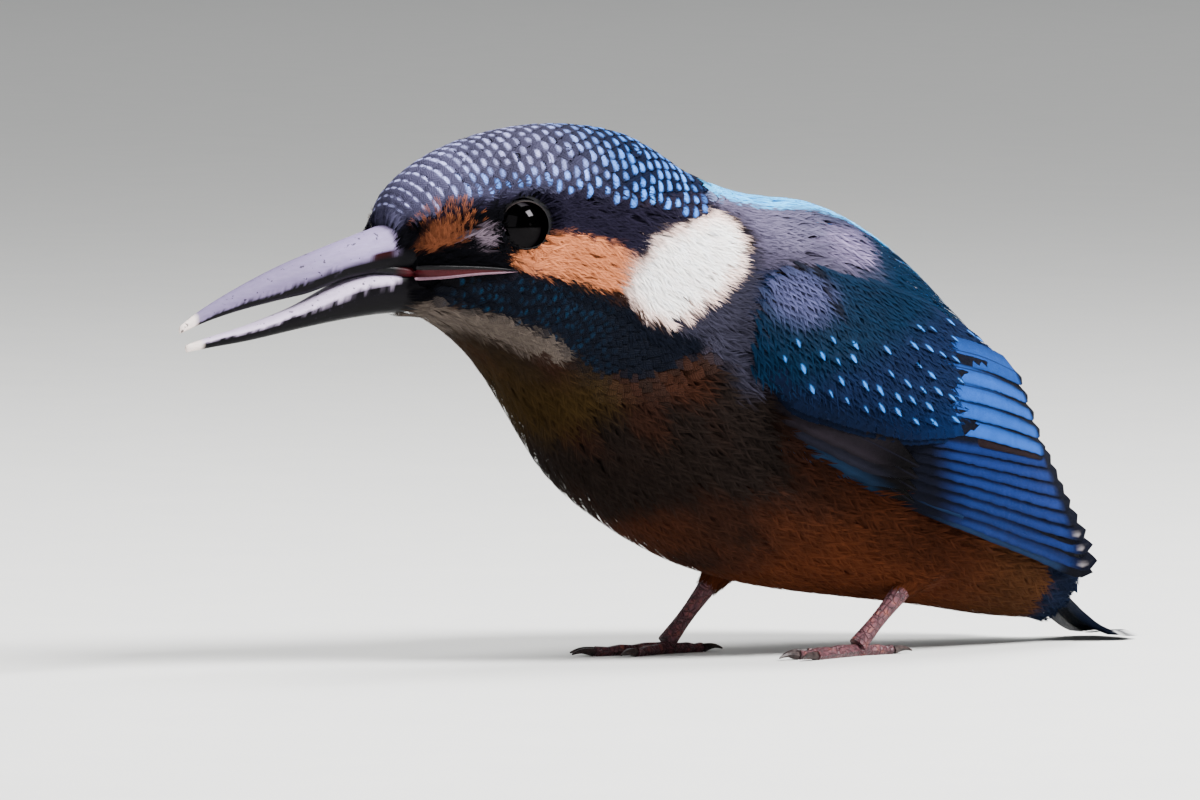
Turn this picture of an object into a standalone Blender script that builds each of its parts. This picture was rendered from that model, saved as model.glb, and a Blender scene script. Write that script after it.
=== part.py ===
"""A common kingfisher at life size, standing on its two feet and the tip of its tail.

The bird faces -Y, its left side is +X and +Z is up. Every size is in millimetres in the
tables and is turned into metres by MM. "Ahead" means towards the bill, "side" towards the
bird's left. The body is one smooth loft, parted by thin cuts into head, neck, trunk and rump.
"""
import math

import bmesh
import bpy
import numpy as np
from mathutils import Vector

MM = 0.001
GAP = 0.3                    # clearance between neighbouring solids
SIDES = {"left": 1, "right": -1}

# Plumage and bare-part colours: linear RGB, roughness.
FINISHES = {
    "crown": ((0.035, 0.080, 0.120), 0.5),
    "breast": ((0.260, 0.085, 0.022), 0.7),
    "wing": ((0.015, 0.085, 0.130), 0.5),
    "flight": ((0.020, 0.120, 0.300), 0.45),
    "tail": ((0.012, 0.050, 0.120), 0.5),
    "bill": ((0.060, 0.055, 0.070), 0.3),
    "eye": ((0.010, 0.007, 0.005), 0.08),
    "leg": ((0.150, 0.050, 0.045), 0.5),
    "claw": ((0.030, 0.022, 0.022), 0.35),
}

# ---------------------------------------------------------------- body loft
# Each station: name, back line (ahead, up), breast line (ahead, up), half width and how far
# up the section it is widest.
BODY = (
    ("bill_root", (61.8, 60.6), (57.4, 48.4), 5.0, 0.50),
    ("lores", (60.2, 65.0), (53.8, 47.2), 7.6, 0.50),
    ("brow", (54.0, 69.4), (49.6, 45.0), 9.8, 0.52),
    ("eyes", (45.5, 72.4), (45.2, 41.4), 11.2, 0.54),
    ("crown", (34.5, 73.7), (42.0, 37.4), 12.2, 0.56),
    ("hind_crown", (23.0, 72.2), (39.4, 33.4), 12.6, 0.56),
    ("nape", (12.5, 66.6), (36.4, 29.2), 13.4, 0.54),
    ("mantle", (3.0, 63.6), (31.8, 24.0), 15.6, 0.54),
    ("shoulders", (-8.0, 62.2), (23.6, 18.2), 18.0, 0.56),
    ("back", (-18.0, 57.0), (12.6, 12.8), 19.0, 0.56),
    ("belly", (-27.5, 49.0), (0.0, 9.4), 18.4, 0.52),
    ("flanks", (-36.0, 39.6), (-14.0, 7.5), 16.4, 0.50),
    ("vent", (-42.0, 30.2), (-27.0, 5.9), 13.0, 0.48),
    ("tail_coverts", (-47.5, 21.4), (-38.5, 4.1), 9.4, 0.46),
    ("tail_root", (-52.6, 13.4), (-48.4, 3.2), 5.6, 0.44),
)
SECTION_SIDES = 28
SECTION_POWER = 2.15         # 2 is an ellipse, more is boxier
NECK_STARTS, TRUNK_STARTS, RUMP_STARTS = 5.4, 7.4, 11.6   # stations of the parting cuts
PARTING = 0.035              # width of a parting cut, in stations

# ---------------------------------------------------------------- bill, eyes, mouth
# Ahead, top, bottom, half width of the upper and the lower mandible.
UPPER_BILL = (
    (61.9, 60.3, 54.1, 4.6),
    (70.0, 58.0, 53.0, 3.5),
    (78.6, 55.4, 51.7, 2.5),
    (87.0, 52.5, 50.1, 1.5),
    (92.5, 50.1, 48.6, 0.8),
    (95.4, 48.3, 47.5, 0.3),
)
LOWER_BILL = (
    (59.6, 53.5, 48.7, 4.4),
    (68.0, 52.3, 47.9, 3.3),
    (76.3, 49.8, 46.7, 2.3),
    (84.1, 47.5, 45.4, 1.6),
    (90.0, 46.2, 44.7, 0.9),
    (94.4, 45.1, 44.1, 0.3),
)
BILL_RINGS = 11
EYE_AT = (44.8, 60.0, 7.8)   # ahead, up, side of the eyeball's centre
EYE_RADIUS = 4.7
GAPE_CORNER = (46.6, 54.1)   # ahead, up
MOUTH_AT_BILL = (62.5, 53.6, 54.3)   # ahead, lower and upper lip

# ---------------------------------------------------------------- wing
# Along the folded wing: upper edge, middle of the outside and lower edge (ahead, up, side).
WING = (
    ((2.5, 61.5, 8.3), (11.5, 51.5, 15.8), (13.5, 40.5, 17.2)),
    ((-7.0, 61.0, 8.0), (1.0, 47.5, 19.6), (6.5, 32.5, 18.6)),
    ((-17.0, 56.5, 7.6), (-9.5, 43.0, 20.4), (-2.5, 26.5, 19.2)),
    ((-27.0, 48.8, 7.4), (-19.5, 36.5, 19.4), (-13.0, 21.0, 18.4)),
    ((-36.2, 39.8, 7.0), (-30.0, 29.5, 17.2), (-24.0, 17.0, 16.4)),
    ((-43.8, 27.8, 6.2), (-40.4, 21.6, 12.8), (-37.4, 14.0, 12.6)),
    ((-50.8, 13.2, 6.6), (-51.0, 12.5, 7.8), (-50.8, 11.2, 7.6)),
)
WING_STEPS, CHORD_STEPS = 18, 9
COVERTS_END = 0.56           # share of the wing's length that its coverts take
SECONDARIES_END = 0.56       # share of the chord that the secondaries take
COVERTS_THICK = 3.2
FLIGHT_THICK = (2.6, 1.0)    # thickness of the flight feathers at the coverts and at the tip
POCKET_OUT = 3.0             # how far the pocket in the body reaches outside the wing

# ---------------------------------------------------------------- tail
# The middle of the tail, from the coverts to its tip (ahead, up), and its half width.
TAIL = ((-51.4, 7.9, 4.4), (-54.4, 4.7, 5.0), (-57.4, 2.2, 5.7), (-60.4, 0.6, 6.2), (-63.5, 0.4, 6.4))
TAIL_ARCH = 0.9
TAIL_THICK = 1.1
TAIL_ROUNDING = 2.0

# ---------------------------------------------------------------- legs
ANKLE = {"left": (-18.2, 8.6, 9.0), "right": (1.4, 9.2, -9.0)}     # ahead, up, side
FOOT = {"left": (-10.4, 1.3, 9.4), "right": (8.4, 1.3, -9.4)}
HEADING = {"left": 6.0, "right": -4.0}     # degrees that the foot points away from ahead
# Digit: angle from the foot's heading towards the outside, length, thickness at root and tip.
DIGITS = {
    "hind": (176.0, 6.0, 0.95, 0.70),
    "inner": (-24.0, 7.0, 0.90, 0.65),
    "middle": (2.0, 11.0, 1.00, 0.70),
    "outer": (15.0, 10.0, 0.95, 0.65),
}
TARSUS_RADII = (1.35, 1.05, 1.30)
THIGH_RADII = (4.0, 3.2, 1.9)
THIGH_LENGTH = 7.0
CLAW_LENGTH, CLAW_RADIUS = 3.2, 0.55
SOLE = 0.8                   # height of a toe's axis as a share of its thickness


def place(ahead, up, side=0.0):
    """A point in metres from distances along the bird in millimetres."""
    return np.array((side, -ahead, up)) * MM


def eased(values, steps):
    """A smooth curve through rows of values, sampled at positions counted in rows."""
    rows = np.array(values, float)
    slopes = np.gradient(rows, axis=0)
    steps = np.asarray(steps, float)
    row = np.clip(np.floor(steps).astype(int), 0, len(rows) - 2)
    t = (steps - row)[:, None]
    return (rows[row] * (1 + 2 * t) * (1 - t) ** 2 + rows[row + 1] * t * t * (3 - 2 * t)
            + slopes[row] * t * (1 - t) ** 2 - slopes[row + 1] * t * t * (1 - t))


def finish_of(name):
    """The Principled material of this name, made once."""
    found = bpy.data.materials.get(name)
    if found:
        return found
    colour, roughness = FINISHES[name]
    made = bpy.data.materials.new(name)
    made.use_nodes = True
    shader = made.node_tree.nodes["Principled BSDF"]
    shader.inputs["Base Color"].default_value = (*colour, 1)
    shader.inputs["Roughness"].default_value = roughness
    return made


def collection_of(name):
    """The scene's collection of this name, made once."""
    found = bpy.data.collections.get(name)
    if not found:
        found = bpy.data.collections.new(name)
        bpy.context.scene.collection.children.link(found)
    return found


def add(name, mesh, finish=None):
    """A named object of the bird, or a hidden cutter when it has no finish."""
    made = bpy.data.objects.new(name, mesh)
    if finish:
        collection_of("kingfisher").objects.link(made)
        mesh.materials.append(finish_of(finish))
        mesh.shade_smooth()
        mesh.set_sharp_from_angle(angle=math.radians(50))
    else:
        collection_of("cutters").objects.link(made)
        made.hide_render = True
        made.display_type = "WIRE"
    return made


def mesh_of_rings(name, rings, slab=False):
    """A closed mesh lofted through rings of points. A slab's ring runs out and back again."""
    count = len(rings[0])
    points = [tuple(p) for ring in rings for p in ring]
    faces = []
    for row in range(len(rings) - 1):
        for i in range(count):
            a, b = row * count + i, row * count + (i + 1) % count
            faces.append((a, b, b + count, a + count))
    for first in (0, (len(rings) - 1) * count):
        if slab:
            for i in range(count // 2 - 1):
                other = count - 1 - i
                faces.append((first + i, first + i + 1, first + other - 1, first + other))
        else:
            faces.append(tuple(range(first, first + count)))
    mesh = bpy.data.meshes.new(name)
    mesh.from_pydata(points, [], faces)
    work = bmesh.new()
    work.from_mesh(mesh)
    bmesh.ops.recalc_face_normals(work, faces=work.faces)
    bmesh.ops.triangulate(work, faces=work.faces)
    work.to_mesh(mesh)
    work.free()
    return mesh


def cut(target, cutter):
    """Adds a Boolean that takes the cutter from the target."""
    modifier = target.modifiers.new(cutter.name, "BOOLEAN")
    modifier.object = cutter
    modifier.operation = "DIFFERENCE"


def body_section(station):
    """The ring of the body's loft at a station, in metres."""
    rows = [(*back, *breast, half, level) for _, back, breast, half, level in BODY]
    back_a, back_u, breast_a, breast_u, half, level = eased(rows, [station])[0]
    back, breast = place(back_a, back_u), place(breast_a, breast_u)
    widest = breast + (back - breast) * level
    angles = np.arange(SECTION_SIDES) / SECTION_SIDES * 2 * math.pi
    across = np.sign(np.cos(angles)) * np.abs(np.cos(angles)) ** (2 / SECTION_POWER)
    upward = np.sign(np.sin(angles)) * np.abs(np.sin(angles)) ** (2 / SECTION_POWER)
    reach = np.where((upward > 0)[:, None], back - widest, widest - breast)
    return widest + upward[:, None] * reach + np.outer(across * half * MM, (1, 0, 0))


def body_piece(name, first, last, rings, finish):
    """One parted length of the body."""
    return add(name, mesh_of_rings(name, [body_section(s) for s in np.linspace(first, last, rings)]), finish)


def make_body():
    """Head, neck, trunk and rump from one loft."""
    end = len(BODY) - 1
    cuts = (NECK_STARTS, TRUNK_STARTS, RUMP_STARTS)
    return [
        body_piece("head", 0, cuts[0] - PARTING, 15, "crown"),
        body_piece("neck", cuts[0] + PARTING, cuts[1] - PARTING, 6, "breast"),
        body_piece("trunk", cuts[1] + PARTING, cuts[2] - PARTING, 11, "breast"),
        body_piece("rump", cuts[2] + PARTING, end, 9, "breast"),
    ]


def mandible_ring(ahead, top, bottom, half, ridge_up):
    """A bill section: a keeled back with a flat biting side, on the up or the down side."""
    height = top - bottom
    ring = []
    for angle in np.linspace(0, math.pi, 9):
        across, rise = math.cos(angle) * half, math.sin(angle) ** 0.85 * height
        ring.append(place(ahead, bottom + rise if ridge_up else top - rise, across))
    ring.append(place(ahead, bottom if ridge_up else top, 0))
    return ring


def make_bill():
    """The upper and lower mandible, a little open."""
    lean = (BODY[0][1][0] - BODY[0][2][0]) / (BODY[0][1][1] - BODY[0][2][1])
    for name, rows, ridge_up in (("bill_upper", UPPER_BILL, True), ("bill_lower", LOWER_BILL, False)):
        sizes = eased(rows, np.linspace(0, len(rows) - 1, BILL_RINGS))
        rings = [mandible_ring(*row, ridge_up) for row in sizes]
        # The root ring leans like the face that it meets.
        for point in rings[0]:
            up = point[2] / MM
            point[1] = -(BODY[0][2][0] + GAP + lean * (up - BODY[0][2][1])) * MM
        add(name, mesh_of_rings(name, rings), "bill")


def eye_mesh(name, side, grow):
    """The eyeball of one side, grown for its socket."""
    work = bmesh.new()
    bmesh.ops.create_uvsphere(work, u_segments=16, v_segments=10, radius=(EYE_RADIUS + grow) * MM)
    ahead, up, across = EYE_AT
    bmesh.ops.translate(work, verts=work.verts, vec=place(ahead, up, across * side))
    mesh = bpy.data.meshes.new(name)
    work.to_mesh(mesh)
    work.free()
    return mesh


def make_eyes(head):
    """Both eyes, each in a socket of the head."""
    for label, side in SIDES.items():
        add(f"eye_{label}", eye_mesh(f"eye_{label}", side, 0), "eye")
        cut(head, add(f"socket_{label}", eye_mesh(f"socket_{label}", side, GAP)))


def open_mouth(head):
    """Cuts the slit of the gape, from the bill's root to the corner below the eye."""
    ahead, lower, upper = MOUTH_AT_BILL
    corner_ahead, corner_up = GAPE_CORNER
    reach = BODY[3][3] + 4
    outline = ((ahead, lower), (ahead, upper), (corner_ahead, corner_up + 0.2), (corner_ahead, corner_up - 0.2))
    rings = [[place(a, u, side) for a, u in outline] for side in (-reach, reach)]
    cut(head, add("mouth", mesh_of_rings("mouth", rings)))


def wing_point(along, chord, side):
    """A point on the outside of the folded wing, both shares from 0 to 1, in millimetres."""
    rows = [[x for edge in station for x in edge] for station in WING]
    upper, middle, lower = eased(rows, [along * (len(WING) - 1)])[0].reshape(3, 3)
    control = 2 * middle - (upper + lower) / 2
    ahead, up, across = upper * (1 - chord) ** 2 + 2 * chord * (1 - chord) * control + lower * chord ** 2
    return np.array((across * side, -ahead, up))


def wing_outward(along, chord, side):
    """The direction straight out of the wing at a point."""
    near, step = min(max(along, 0.01), 0.98), 0.01
    backward = wing_point(near + step, chord, side) - wing_point(near - step, chord, side)
    downward = wing_point(near, chord + step, side) - wing_point(near, chord - step, side)
    outward = np.cross(downward, backward) * side
    return outward / np.linalg.norm(outward)


def wing_mesh(name, side, along, chord, thick, grow=0.0):
    """A slab of the wing between two shares along it and two across it, or its pocket."""
    span = grow / 62
    alongs = np.linspace(along[0] - span, along[1] + span, max(4, round(WING_STEPS * (along[1] - along[0])) + 1))
    chords = np.linspace(chord[0] - span, chord[1] + span, max(4, round(CHORD_STEPS * (chord[1] - chord[0])) + 1))
    rings = []
    for a in alongs:
        share = (a - along[0]) / (along[1] - along[0])
        depth = thick[0] * (1 - share) + thick[1] * share + grow
        outer = [wing_point(a, c, side) for c in chords]
        out = [wing_outward(a, c, side) for c in chords]
        inner = [p - n * depth for p, n in zip(outer, out)]
        if grow:
            outer = [p + n * POCKET_OUT for p, n in zip(outer, out)]
        rings.append([p * MM for p in outer + inner[::-1]])
    return mesh_of_rings(name, rings, slab=True)


def make_wings(hosts):
    """The folded wings, each as coverts, secondaries and primaries let into the body."""
    slit = 0.003
    flight = (COVERTS_END + slit, 1)
    patches = {
        "coverts": ((0, COVERTS_END - slit), (0, 1), (COVERTS_THICK, COVERTS_THICK)),
        "secondaries": (flight, (0, SECONDARIES_END - 2 * slit), FLIGHT_THICK),
        "primaries": (flight, (SECONDARIES_END + 2 * slit, 1), FLIGHT_THICK),
    }
    for label, side in SIDES.items():
        for part, (along, chord, thick) in patches.items():
            finish = "wing" if part == "coverts" else "flight"
            name = f"wing_{label}_{part}"
            add(name, wing_mesh(name, side, along, chord, thick), finish)
            pocket = add(f"pocket_{name}", wing_mesh(f"pocket_{name}", side, along, chord, thick, GAP))
            for host in hosts:
                cut(host, pocket)


def press_flat(mesh):
    """Presses whatever is below the floor flat against it."""
    for vertex in mesh.vertices:
        vertex.co.z = max(vertex.co.z, 0)


def make_tail():
    """The closed tail, arched across, its tip pressed flat on the floor."""
    rings = []
    for ahead, up, half in eased(TAIL, np.linspace(0, len(TAIL) - 1, 9)):
        end = (TAIL[0][0] - ahead) / (TAIL[0][0] - TAIL[-1][0])
        arch, rounding = TAIL_ARCH * (1 - end), TAIL_ROUNDING * end ** 4
        row = [(x, arch * (0.5 - x * x)) for x in np.linspace(-1, 1, 9)]
        ring = [place(ahead + rounding * x * x, up + rise + TAIL_THICK / 2, x * half) for x, rise in row]
        ring += [place(ahead + rounding * x * x, up + rise - TAIL_THICK / 2, x * half) for x, rise in row[::-1]]
        rings.append(ring)
    mesh = mesh_of_rings("tail", rings, slab=True)
    press_flat(mesh)
    return add("tail", mesh, "tail")


def tube_mesh(name, points, radii, resolution=1):
    """A tapered round tube along points, with closed ends, in metres."""
    curve = bpy.data.curves.new(name, "CURVE")
    curve.dimensions = "3D"
    curve.bevel_depth = MM
    curve.bevel_resolution = resolution
    curve.use_fill_caps = True
    spline = curve.splines.new("POLY")
    spline.points.add(len(points) - 1)
    for knot, point, radius in zip(spline.points, points, radii):
        knot.co = (*point, 1)
        knot.radius = radius
    made = bpy.data.objects.new(name, curve)
    bpy.context.scene.collection.objects.link(made)
    graph = bpy.context.evaluated_depsgraph_get()
    mesh = bpy.data.meshes.new_from_object(made.evaluated_get(graph))
    bpy.data.objects.remove(made)
    work = bmesh.new()
    work.from_mesh(mesh)
    bmesh.ops.remove_doubles(work, verts=work.verts, dist=0.00001)
    bmesh.ops.recalc_face_normals(work, faces=work.faces)
    work.to_mesh(mesh)
    work.free()
    return mesh


def slab_mesh(name, reach, depth):
    """A square block whose top is level with the floor."""
    corners = ((reach, -reach), (reach, reach), (-reach, reach), (-reach, -reach))
    return mesh_of_rings(name, [[place(a, up, side) for a, side in corners] for up in (-depth, 0)])


def toe_course(label, digit):
    """Where a toe starts, the level direction in which it runs, and its length."""
    angle, length, _, _ = DIGITS[digit]
    turn = math.radians(HEADING[label] + angle * SIDES[label])
    ahead, _, side = FOOT[label]
    return np.array((ahead, 0, side)), np.array((math.cos(turn), 0, math.sin(turn))), length


def toe_mesh(label, digit):
    """A toe with three soft pads, its underside just below the floor."""
    start, heading, length = toe_course(label, digit)
    _, _, root, tip = DIGITS[digit]
    points, radii = [], []
    for t in np.linspace(-0.9 * root / length, 1, 7):
        pad = 1 + 0.10 * math.cos(t * 3 * 2 * math.pi)
        radii.append((root * (1 - t) + tip * t) * pad)
        points.append(place(*(start + heading * length * t + np.array((0, SOLE * radii[-1], 0)))))
    return tube_mesh(f"toe_{label}_{digit}", points, radii)


def claw_mesh(label, digit):
    """A hooked claw beyond the toe's end, its point resting on the floor."""
    start, heading, length = toe_course(label, digit)
    reach = length + GAP + 0.1
    points, radii = [], []
    for t in np.linspace(0, 1, 6):
        rise = 0.45 * math.sin(t * math.pi * 0.8) - 0.45 * t
        rise += CLAW_RADIUS
        points.append(place(*(start + heading * (reach + CLAW_LENGTH * t) + np.array((0, rise, 0)))))
        radii.append(CLAW_RADIUS * (1 - t) + 0.12)
    mesh = tube_mesh(f"claw_{label}_{digit}", points, radii)
    press_flat(mesh)
    return mesh


def make_leg(label, hosts):
    """Feathered thigh, tarsus, foot with four toes, and claws, of one side."""
    ankle, foot = np.array(ANKLE[label]), np.array(FOOT[label])
    shin = (foot - ankle) / np.linalg.norm(foot - ankle)
    cuff = ankle - shin * GAP
    hip = cuff - shin * THIGH_LENGTH
    courses = {
        "thigh": ([hip, (hip + cuff) / 2, cuff], THIGH_RADII),
        "tarsus": ([ankle, (ankle + foot) / 2, foot - shin * 0.2], TARSUS_RADII),
    }
    meshes = {}
    for part, (points, radii) in courses.items():
        knots = np.linspace(0, len(points) - 1, 2 * len(points))
        fine = eased(points, knots)
        sizes = eased(np.array(radii)[:, None], knots)[:, 0]
        meshes[part] = tube_mesh(f"{part}_{label}", [place(*p) for p in fine], sizes, 3)
        fine[0] += (fine[0] - fine[1]) / np.linalg.norm(fine[0] - fine[1]) * GAP
        name = f"socket_{part}_{label}"
        socket = add(name, tube_mesh(name, [place(*p) for p in fine], sizes + GAP, 3))
        for host in hosts:
            cut(host, socket)
    add(f"thigh_{label}", meshes["thigh"], "breast")
    leg = add(f"foot_{label}", meshes["tarsus"], "leg")
    toes = bpy.data.collections.new(f"toes_{label}")
    collection_of("cutters").children.link(toes)
    for digit in DIGITS:
        toes.objects.link(add(f"toe_{label}_{digit}", toe_mesh(label, digit)))
        add(f"claw_{label}_{digit}", claw_mesh(label, digit), "claw")
    join = leg.modifiers.new("toes", "BOOLEAN")
    join.operation = "UNION"
    join.operand_type = "COLLECTION"
    join.collection = toes
    # The soles are cut to small flats at the level of the floor.
    cut(leg, add(f"floor_{label}", slab_mesh(f"floor_{label}", 60.0, 4.0)))


def centre_on_origin():
    """Moves the whole bird so that the origin is under the middle of its box, on the floor."""
    bpy.context.view_layer.update()
    graph = bpy.context.evaluated_depsgraph_get()
    corners = [
        made.matrix_world @ Vector(corner)
        for made in collection_of("kingfisher").objects
        for corner in made.evaluated_get(graph).bound_box
    ]
    low = Vector(map(min, *corners))
    high = Vector(map(max, *corners))
    shift = Vector((-(low.x + high.x) / 2, -(low.y + high.y) / 2, -low.z))
    for name in ("kingfisher", "cutters"):
        for made in collection_of(name).objects:
            made.location += shift


def main():
    for old in list(bpy.data.objects):
        bpy.data.objects.remove(old)
    head, neck, trunk, rump = make_body()
    make_bill()
    make_eyes(head)
    open_mouth(head)
    make_wings((neck, trunk, rump))
    make_tail()
    for label in SIDES:
        make_leg(label, (trunk, rump))
    centre_on_origin()


main()
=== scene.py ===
"""Looks of the life-size kingfisher: skin, feathers, bill, eyes and feet over the fixed solids.

Lengths are in millimetres unless a name says otherwise. A point of the bird is (side, back, up),
with the bird's left side positive, measured from the frame's floor. In the side view a place is
(ahead, up), with ahead towards the bill.
"""
import math

import bpy
import numpy as np
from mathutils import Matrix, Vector
from mathutils.bvhtree import BVHTree


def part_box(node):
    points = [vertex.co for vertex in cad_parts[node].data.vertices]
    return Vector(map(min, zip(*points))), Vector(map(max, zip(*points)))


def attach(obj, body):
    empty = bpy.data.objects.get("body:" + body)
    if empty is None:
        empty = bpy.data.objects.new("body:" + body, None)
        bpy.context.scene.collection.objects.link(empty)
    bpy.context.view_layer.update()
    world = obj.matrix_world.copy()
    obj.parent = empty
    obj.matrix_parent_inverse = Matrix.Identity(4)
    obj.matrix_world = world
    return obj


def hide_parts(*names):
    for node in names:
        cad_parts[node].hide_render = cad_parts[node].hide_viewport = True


bl_info = {
    "name": "Kingfisher",
    "version": (1, 0, 0),
    "blender": (4, 5, 0),
    "location": "View3D > Sidebar > Kingfisher",
    "description": "Dresses the kingfisher's solids in skin, feathers, horn and scales",
    "category": "Object",
}

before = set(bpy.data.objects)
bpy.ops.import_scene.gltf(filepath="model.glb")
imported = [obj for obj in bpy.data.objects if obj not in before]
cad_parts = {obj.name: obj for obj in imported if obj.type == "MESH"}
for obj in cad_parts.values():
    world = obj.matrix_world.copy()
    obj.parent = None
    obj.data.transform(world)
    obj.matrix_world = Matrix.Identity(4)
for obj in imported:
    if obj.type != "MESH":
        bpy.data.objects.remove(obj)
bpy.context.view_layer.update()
MM = 0.001
BILL_TIP = 95.4              # where the bill's tip is in the side view, ahead
ORIGIN = np.array((0.0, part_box("bill_upper")[0][1] / MM + BILL_TIP, 0.0))
SIDES = {"left": 1, "right": -1}

# Lines across the body in the side view: back (ahead, up), breast (ahead, up).
SECTIONS = (
    (61.4, 60.5, 57.4, 48.5),
    (59.3, 64.4, 53.5, 48.2),
    (53.3, 68.6, 48.6, 46.5),
    (45.4, 72.1, 43.8, 42.9),
    (34.5, 73.7, 41.1, 38.1),
    (23.0, 72.2, 39.0, 33.6),
    (12.5, 66.6, 36.4, 29.2),
    (3.0, 63.6, 31.8, 24.0),
    (-8.0, 62.7, 23.6, 18.2),
    (-18.5, 57.9, 12.6, 12.8),
    (-28.1, 49.9, 0.0, 9.4),
    (-36.4, 40.2, -14.0, 7.5),
    (-42.0, 30.2, -27.0, 5.9),
    (-47.5, 21.4, -38.5, 4.1),
    (-52.6, 13.4, -48.4, 3.2),
)
# Depth of the coat over the skin at each of those lines.
COAT_DEPTH = (0.35, 0.6, 0.8, 1.0, 1.2, 1.4, 1.7, 1.9, 1.9, 1.9, 1.9, 1.8, 1.6, 1.4, 1.2)

# Outlines of the plumage's fields in the side view.
CROWN = ((63.0, 59.2), (60.8, 61.0), (58.0, 62.8), (55.0, 63.9), (51.0, 64.0), (47.5, 64.5),
         (43.0, 64.9), (37.0, 64.8), (31.0, 64.3), (25.0, 63.4), (19.0, 62.8), (13.5, 63.6),
         (9.0, 66.5), (12.0, 80.0), (66.0, 80.0))
EAR = ((50.0, 63.9), (43.0, 65.0), (37.0, 65.0), (25.0, 63.6), (13.5, 63.8), (12.5, 61.8), (17.0, 60.9),
       (24.4, 58.4), (28.0, 55.6), (31.3, 57.3), (37.7, 58.9), (42.0, 59.5), (48.0, 58.0))
CHEEK = ((47.8, 55.9), (44.5, 57.2), (42.0, 59.2), (37.7, 59.0), (31.3, 57.3), (28.2, 55.5),
         (27.9, 51.4), (32.9, 51.2), (40.8, 53.2), (46.0, 54.6))
WHITE = ((29.0, 54.5), (24.4, 58.4), (17.0, 60.9), (13.4, 61.8), (10.9, 60.6), (10.0, 57.6),
         (11.2, 54.2), (14.4, 51.2), (19.0, 48.3), (23.6, 46.0), (27.6, 47.6), (30.5, 50.8))
MALAR = ((57.0, 53.6), (49.4, 53.4), (45.0, 53.4), (40.8, 52.7), (35.5, 50.8), (30.0, 49.4),
         (27.5, 47.2), (23.5, 45.6), (19.5, 45.0), (19.2, 42.7), (23.2, 40.8), (27.0, 39.5),
         (33.2, 39.8), (38.0, 42.8), (40.5, 44.9), (45.6, 47.2), (52.6, 49.1), (57.5, 50.4))
THROAT = ((58.5, 50.8), (52.6, 49.3), (45.6, 47.5), (40.5, 45.2), (38.2, 43.2), (38.0, 42.0),
          (39.4, 41.4), (43.2, 43.0), (47.9, 44.9), (52.0, 46.2), (59.0, 47.5))
CHIN = ((58.0, 47.0), (50.0, 44.5), (40.0, 39.0), (33.0, 39.5), (30.0, 35.0), (36.0, 31.0),
        (46.0, 32.0), (60.0, 40.0))
MANTLE = ((13.5, 63.6), (12.5, 61.9), (9.6, 61.0), (8.0, 58.0), (9.4, 54.6), (9.4, 53.0), (5.0, 54.2),
          (0.0, 52.6), (-5.0, 50.0), (-14.0, 45.5), (-24.0, 41.0), (-31.0, 40.0), (-37.0, 36.0),
          (-44.0, 26.0), (-54.0, 10.0), (-60.0, 16.0), (-30.0, 60.0), (0.0, 75.0), (12.0, 70.0))
HEAD = ((66.0, 53.0), (47.0, 53.5), (28.0, 54.0), (28.0, 70.0), (66.0, 70.0))
NECK_SIDE = ((14.5, 51.8), (9.4, 56.0), (9.0, 50.0), (9.6, 43.0), (9.6, 37.0), (13.5, 36.5),
             (15.5, 40.4), (19.2, 42.8), (24.0, 43.5), (24.0, 46.5), (19.0, 48.8))
NECK_RUST = ((26.0, 39.4), (23.5, 40.8), (20.0, 41.2), (17.6, 39.0), (17.8, 36.4), (21.0, 35.2),
             (25.0, 36.4))
RUMP_SIDE = ((-8.0, 50.0), (-16.0, 38.0), (-30.0, 26.0), (-44.0, 13.0), (-54.0, 3.0), (-64.0, 16.0),
             (-30.0, 62.0))
WING = ((9.4, 53.4), (12.2, 49.0), (13.6, 44.0), (13.8, 40.5), (10.5, 36.0), (6.5, 32.5), (-2.5, 26.5),
        (-13.0, 21.0), (-24.0, 17.0), (-37.4, 14.0), (-51.0, 11.2), (-51.0, 13.5), (-44.0, 26.5),
        (-37.0, 36.0), (-31.0, 39.5), (-24.0, 41.0), (-14.0, 45.5), (-5.0, 50.0), (0.0, 52.6),
        (5.0, 54.2))
JAW = ((63.0, 55.2), (56.0, 55.6), (50.0, 56.0), (46.6, 55.0), (46.8, 53.8), (52.0, 52.6), (56.5, 50.6),
       (59.5, 49.0), (63.0, 49.0))
LORE = ((59.9, 57.8), (59.2, 59.6), (57.8, 61.0), (55.8, 61.9), (53.6, 61.7), (52.8, 60.2),
        (54.2, 58.3), (57.4, 57.4))
EYE_MASK = ((63.5, 59.4), (60.0, 61.0), (54.0, 62.6), (49.0, 63.4), (43.0, 64.2), (41.0, 58.0),
            (48.0, 54.0), (63.5, 53.0))
FACE = ((63.0, 60.2), (60.0, 62.0), (50.0, 64.4), (41.5, 64.8), (40.0, 57.0), (48.0, 54.6),
        (62.5, 54.2))
EYE = (44.8, 60.0)           # the eye's middle in the side view
EYE_SIDE, EYE_RADIUS = 7.5, 4.45    # how far out the eye's middle is, and the ball's radius
EYE_AXIS = (0.974, -0.195, 0.112)   # where the left eye looks: (side, back, up)


def shade(red, green, blue):
    """A linear colour from the usual 0 to 255 levels."""
    level = np.array((red, green, blue)) / 255
    return np.where(level <= 0.04045, level / 12.92, ((level + 0.055) / 1.055) ** 2.4)


def colour(name, description, *levels):
    """A colour that the user can change, given in the usual 0 to 255 levels."""
    return bpy.props.FloatVectorProperty(name=name, description=description, subtype="COLOR", size=3, min=0,
                                         max=1, default=tuple(shade(*levels).tolist()))


def in_mm(name, description, default, low, high):
    """A length that the user can change, given in millimetres."""
    return bpy.props.FloatProperty(name=name, description=description, default=default * MM, min=low * MM,
                                   max=high * MM, subtype="DISTANCE", unit="LENGTH", precision=5)


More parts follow.
